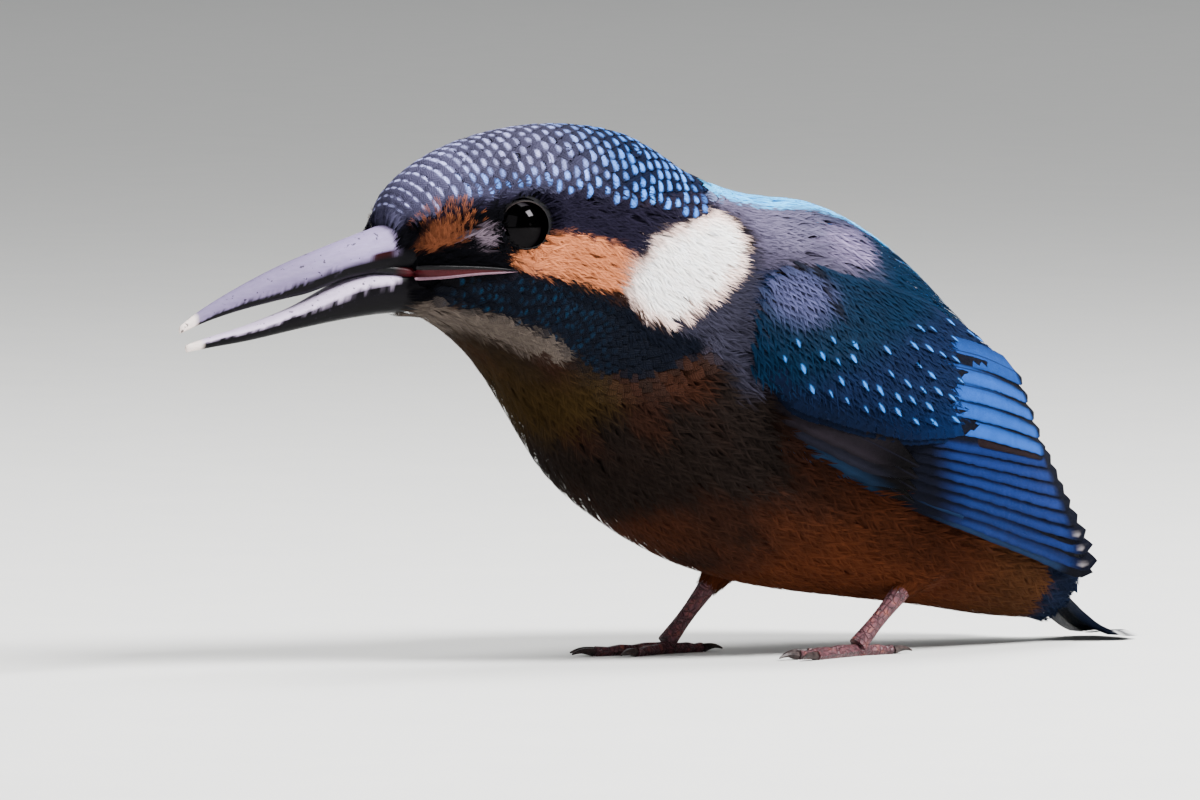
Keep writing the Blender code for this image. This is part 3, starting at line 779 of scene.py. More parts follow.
def make_piece(name, points, faces, finish, tones, vane=None, bake=None, loop_bake=None):
    """A smooth mesh object in the frame, riding on the one body.

    tones, vane and bake are for each point, and loop_bake for each corner of each face.
    """
    mesh = bpy.data.meshes.new(name)
    sides = faces.shape[1]
    mesh.vertices.add(len(points))
    mesh.vertices.foreach_set("co", ((points + ORIGIN) * MM).astype(np.float32).ravel())
    mesh.loops.add(faces.size)
    mesh.loops.foreach_set("vertex_index", faces.ravel().astype(np.int32))
    mesh.polygons.add(len(faces))
    mesh.polygons.foreach_set("loop_start", np.arange(0, faces.size, sides, dtype=np.int32))
    mesh.update(calc_edges=True)
    mesh.shade_smooth()
    layer = mesh.color_attributes.new("Plumage", "FLOAT_COLOR", "POINT")
    full = np.concatenate((tones, np.ones((len(tones), 1))), 1)
    layer.data.foreach_set("color", full.astype(np.float32).ravel())
    if bake is not None:
        loop_bake = bake[faces.ravel()]
    for title, places in (("OFBake", loop_bake), ("Vane", None if vane is None else vane[faces.ravel()])):
        if places is not None:
            mesh.uv_layers.new(name=title).data.foreach_set("uv", places.astype(np.float32).ravel())
    piece = bpy.data.objects.new(name, mesh)
    bpy.context.scene.collection.objects.link(piece)
    mesh.materials.append(finish)
    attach(piece, "root")
    return piece


def sprinkle(wanted, gap, seed):
    """Scattered root places on the skin where wanted(points) is true, about that gap apart."""
    hide = Build.surfaces()
    grid = hide.flesh.points
    rng = np.random.default_rng(seed)
    wrapped = np.concatenate((grid, grid[:, :1]), 1)
    size = (np.linalg.norm(np.diff(wrapped[:-1], axis=1), axis=-1)
            * np.linalg.norm(np.diff(grid, axis=0), axis=-1))
    size = size * (wanted(grid[:-1].reshape(-1, 3)).reshape(size.shape) > 0)
    weight = (size / gap ** 2).ravel()
    count = int(weight.sum() * 4)       # more than can fit
    cells = rng.choice(size.size, count, p=weight / weight.sum())
    rows, columns = cells // size.shape[1] + rng.random(count), cells % size.shape[1] + rng.random(count)
    return thin_out(hide.flesh.at(rows, columns), gap * 0.82)


def thin_out(points, gap):
    """The points left when each keeps its gap to those before it."""
    keys = [tuple(key) for key in np.floor(points / gap).astype(int).tolist()]
    around = [(x, y, z) for x in (-1, 0, 1) for y in (-1, 0, 1) for z in (-1, 0, 1)]
    kept, chosen = {}, []
    for index, ((i, j, k), (x, y, z)) in enumerate(zip(keys, points.tolist())):
        near = (other for di, dj, dk in around for other in kept.get((i + di, j + dj, k + dk), ()))
        if all((x - p) ** 2 + (y - q) ** 2 + (z - r) ** 2 >= gap * gap for p, q, r in near):
            kept.setdefault((i, j, k), []).append((x, y, z))
            chosen.append(index)
    return points[chosen]


def ranks(wanted, gap, last):
    """Root places in staggered cross rows, gap(share along the body) apart, where wanted(points) is true."""
    hide = Build.surfaces()
    surface = hide.flesh
    top, half = hide.COLUMNS // 4, 360      # the column of the back, and the steps read on each side of it
    spine = np.linalg.norm(np.diff(surface.points[:, top], axis=0), axis=1)
    run = np.concatenate(([0], np.cumsum(spine)))
    columns = np.linspace(-hide.COLUMNS / 2, hide.COLUMNS / 2, 2 * half + 1) + top
    found, at, number = [], 0.3, 0
    while at < run[int(last * (hide.ROWS - 1))]:
        row = np.interp(at, run, np.arange(hide.ROWS))
        size = gap(row / (hide.ROWS - 1))
        ring = surface.at(np.full(len(columns), row), columns)
        arc = np.concatenate(([0], np.cumsum(np.linalg.norm(np.diff(ring, axis=0), axis=1))))
        arc -= arc[half]
        steps = np.arange(-40, 41) + 0.5 * (number % 2)
        steps = steps[np.abs(steps * size) < arc[-1]]
        found.append(surface.at(np.full(len(steps), row), np.interp(steps * size, arc, columns)))
        at += size * 0.92
        number += 1
    points = np.concatenate(found)
    return points[wanted(points) > 0]


def spread(amount, shape, seed):
    """Random factors round 1, so that feathers differ a little from their neighbours."""
    return 1 + np.random.default_rng(seed).uniform(-amount, amount, shape)


# ------------------------------------------------------------------ finishes
class Socket:
    """A shader value that Python's operators work on."""

    def __init__(self, wiring, link):
        self.wiring, self.link = wiring, link

    def math(self, operation, *others):
        return self.wiring.add("ShaderNodeMath", {"operation": operation}, dict(enumerate((self, *others))))

    def __add__(self, other):
        return self.math("ADD", other)

    __radd__ = __add__

    def __sub__(self, other):
        return self.math("SUBTRACT", other)

    def __rsub__(self, other):
        return self.wiring.add("ShaderNodeMath", {"operation": "SUBTRACT"}, {0: other, 1: self})

    def __mul__(self, other):
        return self.math("MULTIPLY", other)

    __rmul__ = __mul__

    def __abs__(self):
        return self.math("ABSOLUTE")


class Wiring:
    """A material and its nodes."""

    def __init__(self, name, **fixed):
        self.material = bpy.data.materials.new(name)
        self.material.use_nodes = True
        self.tree = self.material.node_tree
        self.shader = next(node for node in self.tree.nodes if node.type == "BSDF_PRINCIPLED")
        for socket, value in fixed.items():
            self.shader.inputs[socket.replace("_", " ")].default_value = value

    def add(self, kind, settings=None, inputs=None, out=0):
        """A node of any type: its settings, its sockets' values or links, and which output is wanted."""
        node = self.tree.nodes.new(kind)
        for key, value in (settings or {}).items():
            if key == "stops":
                ramp = node.color_ramp
                while len(ramp.elements) < len(value):
                    ramp.elements.new(0.5)
                for element, (place, tone) in zip(ramp.elements, value):
                    element.position, element.color = place, (*tone, 1)
            else:
                setattr(node, key, value)
        for key, value in (inputs or {}).items():
            if isinstance(value, Socket):
                self.tree.links.new(value.link, node.inputs[key])
            else:
                node.inputs[key].default_value = value
        return Socket(self, node.outputs[out])

    def feed(self, **values):
        """Links values to the shader's sockets, and returns the material."""
        for socket, value in values.items():
            self.tree.links.new(value.link, self.shader.inputs[socket.replace("_", " ")])
        return self.material

    def mix(self, share, first, second, blend="MIX"):
        """A colour between two others, by share."""
        tone = [value if isinstance(value, Socket) else (*value, 1) for value in (first, second)]
        return self.add("ShaderNodeMix", {"data_type": "RGBA", "blend_type": blend},
                        {0: share, 6: tone[0], 7: tone[1]}, out=2)

    def place(self):
        """The object's own coordinates, in millimetres."""
        here = self.add("ShaderNodeTexCoord", out="Object")
        return self.add("ShaderNodeVectorMath", {"operation": "SCALE"}, {0: here, "Scale": 1 / MM})

    def noise(self, scale, detail=3.0, where=None, roughness=0.6):
        """Soft random clouds, about 1 / scale millimetres across."""
        return self.add("ShaderNodeTexNoise", None, {"Vector": where or self.place(), "Scale": scale,
                                                     "Detail": detail, "Roughness": roughness})

    def part(self, vector, axis):
        return self.add("ShaderNodeSeparateXYZ", None, {0: vector}, out=axis)

    def ground(self):
        """The piece's own colours."""
        return self.add("ShaderNodeAttribute", {"attribute_name": "Plumage"})

    def shaded_ground(self, share, dark):
        """The piece's own colours, darkened by a factor where share is low."""
        ground = self.ground()
        return self.mix(share, self.mix(1.0, ground, dark, "MULTIPLY"), ground)

    def ramp(self, value, *stops):
        return self.add("ShaderNodeValToRGB", {"stops": stops}, {0: value})

    def between(self, value, low, high):
        """0 below low and 1 above high."""
        return self.add("ShaderNodeMapRange", {"interpolation_type": "SMOOTHSTEP"},
                        {0: value, 1: low, 2: high})

    def bump(self, height, distance):
        """Relief of that many millimetres."""
        return self.add("ShaderNodeBump", None, {"Height": height, "Distance": distance * MM})


def feather_finish(name, barbs, roughness, depth, shaft=0.0, shadow=0.48):
    """Webs of barbs that run from the shaft to the edges, in the plumage's colours."""
    w = Wiring(name, Specular_IOR_Level=0.02)
    vane = w.add("ShaderNodeUVMap", {"uv_map": "Vane"})
    across, along = w.part(vane, 0), w.part(vane, 1)
    away = abs(across - 0.5)
    wobble = w.noise(1.1, 2.0) * 0.06
    barb = ((along - away * 0.55 + wobble) * (barbs * 2 * math.pi)).math("SINE") * 0.5 + 0.5
    clump = w.noise(2.2, 4.0)
    tone = w.shaded_ground(barb * 0.45 + clump * 0.5, (shadow, shadow, shadow + 0.04))
    height = barb * 0.6 + clump * 0.4
    if shaft:
        line = 1 - w.between(away, shaft * 0.5, shaft)
        tone = w.mix(line * 0.7, tone, shade(12, 12, 20))
        height = height + line
    rough = w.noise(1.6, 2.0) * 0.25 + (roughness - 0.12)
    return w.feed(Base_Color=tone, Roughness=rough, Normal=w.bump(height, depth))


def skin_finish():
    """Down over the skin, in the markings of the coat above it."""
    w = Wiring("Down", Specular_IOR_Level=0.02)
    clump = w.noise(1.4, 6.0)
    return w.feed(Base_Color=w.shaded_ground(clump, (0.25, 0.25, 0.28)), Roughness=w.noise(3.0) * 0.2 + 0.7,
                  Normal=w.bump(clump, 0.4))


# ------------------------------------------------------------------ skin
# Share of the way from the belly to the ankle, and radius.
LEG_SKIN = ((-0.7, 3.2), (0.0, 3.0), (0.3, 2.5), (0.6, 1.9), (0.85, 1.5), (1.0, 1.35))
LEG_COAT = ((-0.7, 3.0), (0.0, 3.3), (0.3, 3.1), (0.6, 2.6), (0.85, 2.1), (1.15, 1.55))


def leg_axis(title):
    """Top and bottom of a thigh's solid."""
    points = node_mesh([f"thigh_{title}"])[0]
    middle = points.mean(0)
    line = np.linalg.svd(points - middle, full_matrices=False)[2][0]
    line = line * (1 if line[2] < 0 else -1)
    along = (points - middle) @ line
    return middle + line * along.min(), middle + line * along.max()


def leg_tube(title, profile, columns):
    """Rings of a tapering sleeve round the thigh's axis."""
    top, foot = leg_axis(title)
    line = unit(foot - top)
    beside = unit(np.cross(line, np.array((0, 1.0, 0))))
    before = np.cross(line, beside)
    turns = ring_angles(columns)[:, None]
    return np.array([top + (foot - top) * share + radius * (np.cos(turns) * beside + np.sin(turns) * before)
                     for share, radius in profile])


def corners(u, v):
    """Places on a bake map for the corners of a net's triangles, from those of its cells."""
    corner = np.stack((u, v), -1)
    return np.concatenate((corner[:, [0, 1, 2]], corner[:, [0, 2, 3]])).reshape(-1, 2)


def dress_skin():
    """The one skin over all the flesh."""
    body = Build.surfaces().flesh.points
    rows, columns = body.shape[:2]
    body_part, leg_columns = 0.91, 24       # how much of the map's height is the body's
    i, j = net_cells(rows - 1, columns)
    v = MARGIN + body_part * np.stack((i, i, i + 1, i + 1), 1) / (rows - 1)
    turn = (j / columns + CUT) % 1
    u = MARGIN + 0.98 * np.stack((turn, turn + 1 / columns, turn + 1 / columns, turn), 1)
    places, faces = [corners(u, v)], [net_faces(rows, columns)]
    caps, spots = [], []
    for end, row in enumerate((0, rows - 1)):
        for k in range(columns):
            face = (row * columns + (k + 1) % columns, row * columns + k, rows * columns + end)
            u, v = MARGIN + 0.98 * ((k / columns + CUT) % 1), MARGIN + body_part * row / (rows - 1)
            trio = [(u + 0.98 / columns, v), (u, v), (u + 0.49 / columns, v + (0.005 if end else -0.005))]
            caps.append(face[::-1] if end else face)
            spots += trio[::-1] if end else trio
    faces.append(np.array(caps))
    places.append(np.array(spots))
    parts = [body.reshape(-1, 3), body[[0, -1]].mean(1)]
    for title, side in SIDES.items():
        leg = leg_tube(title, LEG_SKIN, leg_columns)
        i, j = net_cells(len(leg) - 1, leg_columns)
        u = (0.02 if side < 0 else 0.52) + np.stack((j, j + 1, j + 1, j), 1) / leg_columns * 0.46
        v = 0.94 + np.stack((i, i, i + 1, i + 1), 1) / (len(leg) - 1) * 0.05
        places.append(corners(u, v))
        faces.append(net_faces(len(leg), leg_columns, turned=True) + sum(map(len, parts)))
        parts.append(leg.reshape(-1, 3))
    points = np.concatenate(parts)
    # The skin takes the coat's markings at 0.8: partly the down's own darker colour, partly painted shade
    # under the feathers.
    piece = make_piece("skin", points, np.concatenate(faces), skin_finish(),
                       tones=markings(points, wing=False) * 0.8, loop_bake=np.concatenate(places))
    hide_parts("head", "neck", "trunk", "rump", "thigh_left", "thigh_right", "wing_left_coverts",
                "wing_right_coverts")


# ------------------------------------------------------------------ coat of the head
def barred(template, ground, bar, place, thick, wide, seed, slant=0.0):
    """Feather colours with one pale bar across near the tip."""
    rng = np.random.default_rng(seed)
    n = len(ground)
    place = place + rng.uniform(-0.03, 0.03, (n, 1))
    wide = wide * rng.uniform(0.8, 1.1, (n, 1))
    line = template.along + 0.03 * template.across ** 2 + np.reshape(slant, (-1, 1)) * template.across
    along = np.abs(line - place) / (thick * 0.5)
    share = step(1.25, 0.55, (along ** 3 + np.abs(template.across / wide) ** 3) ** (1 / 3))
    dark = 0.75 + 0.25 * step(0.2, 0.8, template.along)
    tone = ground[:, None] * dark[None, :, None]
    return mixed(tone, bar[:, None], share)


def cap_feathers():
    """Barred feathers from the forehead to the nape, in staggered cross rows."""
    paint = tones()
    roots = ranks(lambda points: inside(points, CROWN, shift=0.6),
                  lambda share: 1.3 + 0.6 * min(1, share * 4.0), 0.5)
    longest = sizes()["crown_length"]
    length = longest * (0.44 + 0.36 * step(61, 55, -roots[:, 1]) + 0.2 * step(55, 35, -roots[:, 1]))
    shafts = run_shafts(roots, along_body(0, 4, 11), length, steps=5, share=(0.35, 1.0))
    template = Template.vane(np.linspace(0, 1, 18) ** 0.6, 9, tip=0.3, root=0.3)
    ahead, up = -shafts.shown[:, 1], shafts.shown[:, 2]
    back = step(42, 26, ahead)
    ground = markings(shafts.shown) * spread(0.2, (len(roots), 1), 1)
    brow = step(69, 65.8, up) * step(57, 48, ahead)
    bar = mixed(paint["bar_front"], paint["bar_back"], np.maximum(back, brow * 0.9))
    # Towards the bill the bars are painted brighter too, as painted light on the forehead.
    bar = bar * (0.85 + 0.45 * step(46, 58, ahead) + 0.4 * brow)[:, None]
    bar = bar * spread(0.35, (len(roots), 1), 2) * (1 - 0.1 * brow * (1 - back))[:, None]
    size = np.random.default_rng(5).uniform(0.6, 1.15, (len(roots), 1))
    size = size * (1 - 0.15 * brow * (1 - back) - 0.35 * step(57, 61, ahead))[:, None]
    slant = (0.02 - 0.05 * step(26, 44, ahead)) * np.tanh(shafts.shown[:, 0] / 2.0)
    nape = step(17, 13, ahead)[:, None]
    bar = bar * (1 - nape) + ground * nape
    coat = Coat()
    tone = barred(template, ground, np.minimum(bar, 1), place=0.80, thick=sizes()["crown_bar"] / longest,
                  wide=0.78 * size, seed=3, slant=slant)
    coat.add(template, shafts, 2.5, tone, arch=0.05, ragged=0.12, streak=0.12, seed=4)
    return coat


def from_eye(points):
    """How far points are from the nearer eye's middle line."""
    centre, axis = eye_frame(1)[:2]
    off = np.column_stack((np.abs(points[:, 0]), points[:, 1:])) - centre
    return np.linalg.norm(off - (off @ axis)[:, None] * axis, axis=1)


def soft_patch(coat, template, outline, gap, length, width, seed, tilt=0, sway=9, share=(0.0, 1.0),
               lift=(0.0, 0.0), grow=0.4, limit=None, pale=0.0):
    """Loose short feathers over one field of the head, grown by a margin and kept to a limit."""
    def field(points):
        return inside(points, outline, shift=grow) * (1 if limit is None else limit(points))

    roots = sprinkle(field, gap, seed)
    # The feathers before an eye stay short of it.
    length = length * (1 - 0.75 * step(5.0, 3.2, from_eye(roots)) * (-roots[:, 1] > EYE[0] - 1))
    shafts = run_shafts(roots, along_body(tilt, sway, seed), length * spread(0.2, len(roots), seed), steps=4,
                        share=share, lift=lift)
    tone = markings(shafts.shown)[:, None] * spread(0.12, (len(roots), 1, 1), seed + 1)
    tone = tone * (0.8 + 0.2 * step(0.0, 0.6, template.along))[None, :, None]
    if pale:
        share = step(0.55, 1.0, template.along)[None] * step(59.8, 62.0, shafts.shown[:, 2:]) * pale
        tone = mixed(tone, tones()["cheek"], share)
    coat.add(template, shafts, width * spread(0.2, len(roots), seed + 2), np.minimum(tone, 1), arch=0.05,
             ragged=0.3, streak=0.14, seed=seed)


def bill_fringe(coat, template):
    """Short feathers that start on the bill's root and lie back over its seam."""
    hide = Build.surfaces()
    rng = np.random.default_rng(27)
    for name, upper, count in (("bill_upper", True, 620), ("bill_lower", False, 420)):
        body = half_of_bill(name, upper)
        front, deep = 62.6 if upper else 60.6, 3.4      # where the feathers start, and how far back
        low, high = np.searchsorted(body[:, 0, 1], (-front, -front + deep))
        rows, columns = rng.integers(low, high, count), rng.integers(0, BILL_RING, count)
        root = body[rows, columns]
        height = (root[:, 2] - body[rows, :, 2].min(1)) / np.ptp(body[rows, :, 2], axis=1)
        keep = height > 0.38 if upper else height < 0.62
        # The feathering reaches further along the sides than over the ridge.
        keep &= (-root[:, 1] < front - 1.2 * np.abs(height - 0.6)) | (not upper)
        root = root[keep]
        column = hide.locate(root)[1]
        row = 5.0 + rng.uniform(0, 4, len(root))
        end = hide.coat.at(row, column)
        outward = unit(root - body[rows[keep]].mean(1)) * 0.5 + hide.coat.normal(row, column) * 0.5
        outward = np.repeat(unit(outward)[:, None], 5, 1)
        t = np.linspace(0, 1, 5)[None, :, None]
        reach = np.linalg.norm(end - root, axis=1)[:, None, None]
        course = root[:, None] + (end - root)[:, None] * t * np.minimum(1, 2.6 / reach)
        shafts = Shafts(course + outward * (0.10 + np.sin(t * math.pi) * 0.25), outward, end)
        tone = markings(shafts.shown)[:, None] * spread(0.25, (len(root), 1, 1), 28)
        coat.add(template, shafts, 0.55, tone, arch=0.05, ragged=0.3, streak=0.14, seed=27)


def dress_head():
    """Feathers of the crown, ear band, cheek, neck patch, moustache, lores and throat."""
    vane = feather_finish("Cap web", 9, 0.55, 0.05)
    cap_feathers().build("cap_feathers", vane)
    paint = tones()
    soft = feather_finish("Face down", 3, 0.75, 0.02)
    fine = Template.plume(8, run=0.5, barb=0.055)
    size = sizes()

    def off_eye(points):
        return from_eye(points) > size["eye_opening"] + 0.15

    def off_lore(points):
        return off_eye(points) & (distance_in(side_view(points), LORE) < 0.1)

    coat = Coat()
    soft_patch(coat, fine, EAR, 0.62, 3.2, 0.8, 21, grow=0.8, limit=off_eye)
    soft_patch(coat, fine, CHEEK, 0.50, size["cheek_length"], 0.65, 22, grow=0.8, limit=off_eye,
               lift=(0, 0.1))
    coat.build("cheek_feathers", soft)
    coat = Coat()
    soft_patch(coat, fine, FACE, 0.50, 1.8, 0.55, 24, limit=off_lore, share=(0.1, 0.95))
    soft_patch(coat, fine, LORE, 0.48, 1.9, 0.42, 26, tilt=62, sway=14, share=(0.1, 1.0), lift=(0, 0.5),
               pale=0.75)
    bill_fringe(coat, fine)
    coat.build("face_feathers", soft)
    coat = Coat()
    pale = feather_finish("Neck down", 3, 0.8, 0.02, shadow=0.8)
    soft_patch(coat, fine, WHITE, 0.48, size["neck_length"], 0.8, 23, tilt=-14, grow=1.2, lift=(0, 0.3))
    soft_patch(coat, fine, THROAT, 0.62, 3.8, 0.8, 25, grow=1.2)
    coat.build("neck_feathers", pale)
    coat = Coat()
    roots = ranks(lambda points: inside(points, MALAR, shift=0.5), lambda share: 1.4, 0.55)
    shafts = run_shafts(roots, along_body(0, 5, 31), 3.8, steps=4, share=(0.4, 1.0))
    template = Template.vane(np.linspace(0, 1, 13), 7, tip=0.35)
    ground = markings(shafts.shown) * spread(0.15, (len(roots), 1), 31)
    fore = (step(28, 44, -shafts.shown[:, 1]) * inside(shafts.shown, MALAR))[:, None]
    share = np.random.default_rng(32).uniform(0.0, 0.7, (len(roots), 1))
    bar = ground + (paint["malar_spot"] - ground) * share * fore
    coat.add(template, shafts, 2.0, barred(template, ground, bar, place=0.82, thick=0.15, wide=0.5, seed=33),
             arch=0.04, ragged=0.16, streak=0.15, seed=34)
    coat.build("moustache_feathers", vane)


# ------------------------------------------------------------------ coat of the body
def below_coat(points):
    """Where the soft feathers of the throat, breast, belly and flanks grow."""
    covered = [inside(points, outline, shift=shift) for outline, shift in (
        (CROWN, 0), (EAR, -0.3), (CHEEK, -0.3), (WHITE, -0.6), (MALAR, -0.5), (MANTLE, 0), (RUMP_SIDE, 0),
        (WING, -4.0))]
    return ~np.any(covered, axis=0) & (-points[:, 1] < 56)


UNDERSIDE = (
    # name, from and to (ahead), gap as a share of the down's, how far the length is the belly's, width, seed
    ("breast_feathers", 20, 60, 0.98, 0.0, 1.4, 41),
    ("fore_belly_feathers", 2, 20, 1.0, 0.57, 1.6, 42),
    ("belly_feathers", -18, 2, 1.02, 1.0, 1.8, 43),
    ("vent_feathers", -60, -18, 1.1, 1.0, 1.8, 44),
)


def dress_underside():
    """Loose feathers of the breast, belly, flanks and thighs."""
    finish = feather_finish("Body down", 3, 0.75, 0.02)
    template = Template.plume(9, run=0.5, barb=0.05)
    size = sizes()
    for name, low, high, spacing, belly, width, seed in UNDERSIDE:
        gap = spacing * size["down_gap"]
        length = size["breast_length"] * (1 - belly) + size["belly_length"] * belly
        roots = sprinkle(lambda points: below_coat(points) & (-points[:, 1] > low) & (-points[:, 1] <= high),
                         gap, seed)
        under_wing = inside(roots, WING, 1.0, 0.5)
        shafts = run_shafts(roots, along_body(0, 8, seed), length * spread(0.15, len(roots), seed), steps=5,
                            share=(0.0, 1 - 0.9 * under_wing), lift=(0, 0.1))
        tone = markings(shafts.shown, wing=False)[:, None] * spread(0.15, (len(roots), 1, 1), seed)
        tone = tone * (0.75 + 0.25 * step(0.1, 0.8, template.along))[None, :, None]
        coat = Coat()
        coat.add(template, shafts, width * spread(0.2, len(roots), seed), np.minimum(tone, 1), arch=0.08,
                 ragged=0.3, streak=0.16, seed=seed)
        coat.build(name, finish)


def dress_thighs():
    """Feathered sleeves of both legs."""
    finish = feather_finish("Thigh down", 3, 0.75, 0.02)
    template = Template.plume(8, run=0.5, barb=0.055)
    n, columns = 420, 48        # feathers on each leg, and places round it
    for title in SIDES:
        rng = np.random.default_rng(46)
        rings = leg_tube(title, LEG_COAT, columns)
        start, turn = rng.uniform(0.0, 3.1, n), rng.uniform(0, columns, n)
        t = np.linspace(0, 1, 5)
        row = np.clip(start[:, None] + t * 2.1 * spread(0.2, (n, 1), 47), 0, len(rings) - 1.001)
        low, column = np.floor(row).astype(int), np.floor(turn).astype(int)[:, None] % columns
        part = (row - low)[..., None]
        middle = rings.mean(1)[low] * (1 - part) + rings.mean(1)[low + 1] * part
        points = rings[low, column] * (1 - part) + rings[low + 1, column] * part
        outward = unit(points - middle)
        points = points - outward * (0.9 * (1 - t))[None, :, None]
        shafts = Shafts(points, outward, points[:, 0])
        tone = markings(shafts.shown, wing=False)[:, None] * spread(0.15, (n, 1, 1), 48)
        coat = Coat()
        coat.add(template, shafts, 1.2, np.minimum(tone, 1), arch=0.08, ragged=0.3, streak=0.16, seed=49)
        coat.build(f"thigh_{title}_feathers", finish)


def dress_back():
    """Feathers of the mantle, the scapulars and the bright stripe of the back."""
    finish = feather_finish("Mantle down", 3, 0.65, 0.02, shadow=0.75)
    roots = sprinkle(lambda points: np.maximum(inside(points, MANTLE, shift=1.2), inside(points, RUMP_SIDE)),
                     0.98, 51)
    length = sizes()["back_length"] * spread(0.15, len(roots), 51)
    shafts = run_shafts(roots, along_body(-8, 7, 51), length, steps=6, share=(0.3, 1.0))
    template = Template.plume(9, run=0.45, barb=0.065)
    tone = markings(shafts.shown, wing=False)[:, None] * spread(0.10, (len(roots), 1, 1), 52)
    tone = tone * (0.8 + 0.2 * step(0.2, 0.9, template.along + 0.1 * template.across ** 2))[None, :, None]
    coat = Coat()
    coat.add(template, shafts, 1.6 * spread(0.15, len(roots), 53), np.minimum(tone, 1), arch=0.06,
             ragged=0.25, streak=0.15, seed=54)
    coat.build("back_feathers", finish)


# ------------------------------------------------------------------ wings
def wing_course(points, outward):
    """The way the wing's small feathers lie: steep at the shoulder and flatter towards the tip."""
    ahead, up = -points[:, 1], points[:, 2]
    angle = np.radians(180 + 56 - 26 * step(0, -30, ahead) - 12 * step(36, 28, up))
    return np.stack((0 * angle, -np.cos(angle), np.sin(angle)), 1)


# Where the small feathers grow, in the side view, and the fold over the wing's bend, painted as a shadow.
COVERTS = ((11.0, 53.0), (12.4, 49.0), (13.6, 44.0), (13.2, 41.5), (9.0, 39.6), (5.5, 37.8),
           (1.5, 36.3), (-2.8, 35.2), (-6.7, 33.8), (-14.0, 33.6), (-20.0, 34.2), (-26.0, 37.6),
           (-29.6, 40.0), (-27.0, 43.6), (-20.0, 47.0), (-12.0, 50.2), (-4.0, 52.6), (0.0, 53.6),
           (5.0, 54.6))
CREASE = ((9.3, 52.6), (6.3, 53.6), (3.4, 54.1), (1.4, 53.4), (0.6, 51.9), (1.0, 49.9), (-0.4, 47.2))
# Where the lowest row of the small feathers ends over the long ones.
COVERTS_EDGE = ((8.5, 38.6), (6.0, 35.6), (3.0, 34.4), (-1.0, 33.0), (-5.3, 31.8), (-9.2, 30.6),
                (-13.0, 30.2), (-17.5, 29.8), (-22.5, 30.4), (-26.5, 31.8), (-29.5, 33.8),
                (-33.0, 36.2))


def covert_roots(gap):
    """Staggered root places over the wing's small feathers, in the side view."""
    half = 40           # rows and columns on each side of the middle
    along, across = (cell - half for cell in net_cells(2 * half, 2 * half))
    turn = math.radians(180 + 48)
    flow = np.array((math.cos(turn), math.sin(turn)))
    beside = np.array((-flow[1], flow[0]))
    places = along[:, None] * flow * gap * 0.9 + (across + 0.5 * (along % 2))[:, None] * beside * gap
    places = places + np.array((-10.0, 40.0))
    return places[distance_in(places, COVERTS) > 0]


def fold_shadow(points):
    """How near points are to the dark fold over the wing's bend, from 0 to 1."""
    return step(0.85, 0.25, np.abs(distance_in(side_view(points), CREASE + CREASE[-2:0:-1]))) * 0.85


def covert_tones(points):
    """Ground of the wing's small feathers, and how much each belongs to the bend.

    It is slate at the bend, teal above and royal blue along the lowest row.
    """
    paint = tones()
    ahead, up = -points[:, 1], points[:, 2]
    ground = mixed(paint["covert"], paint["mantle_back"], step(43, 49, up + 0.35 * ahead + 6))
    rise = up - 0.10 * (ahead + 10) - step(-16, -26, ahead) * 2.0 + ripple(points, 4, 7) * 0.6
    low = step(36.6, 32.4, rise)
    ground = mixed(ground, paint["greater"], low * step(4, -16, ahead) * 0.8)
    ground = ground * (1 - 0.45 * low * step(-24, -10, ahead))[:, None]
    # Partly the bend's own slate-lavender, partly a painted sheen on its bulge.
    dome = step(1.5, 0.35, np.hypot((ahead - 5.2) / 5.2, (up - 49.8) / 3.8) + ripple(points, 3, 8) * 0.12)
    ground = mixed(ground, paint["bend"], dome)
    # The fold over the bend gets a painted shadow in the mask's black.
    return mixed(ground, paint["mask"], fold_shadow(points)), dome


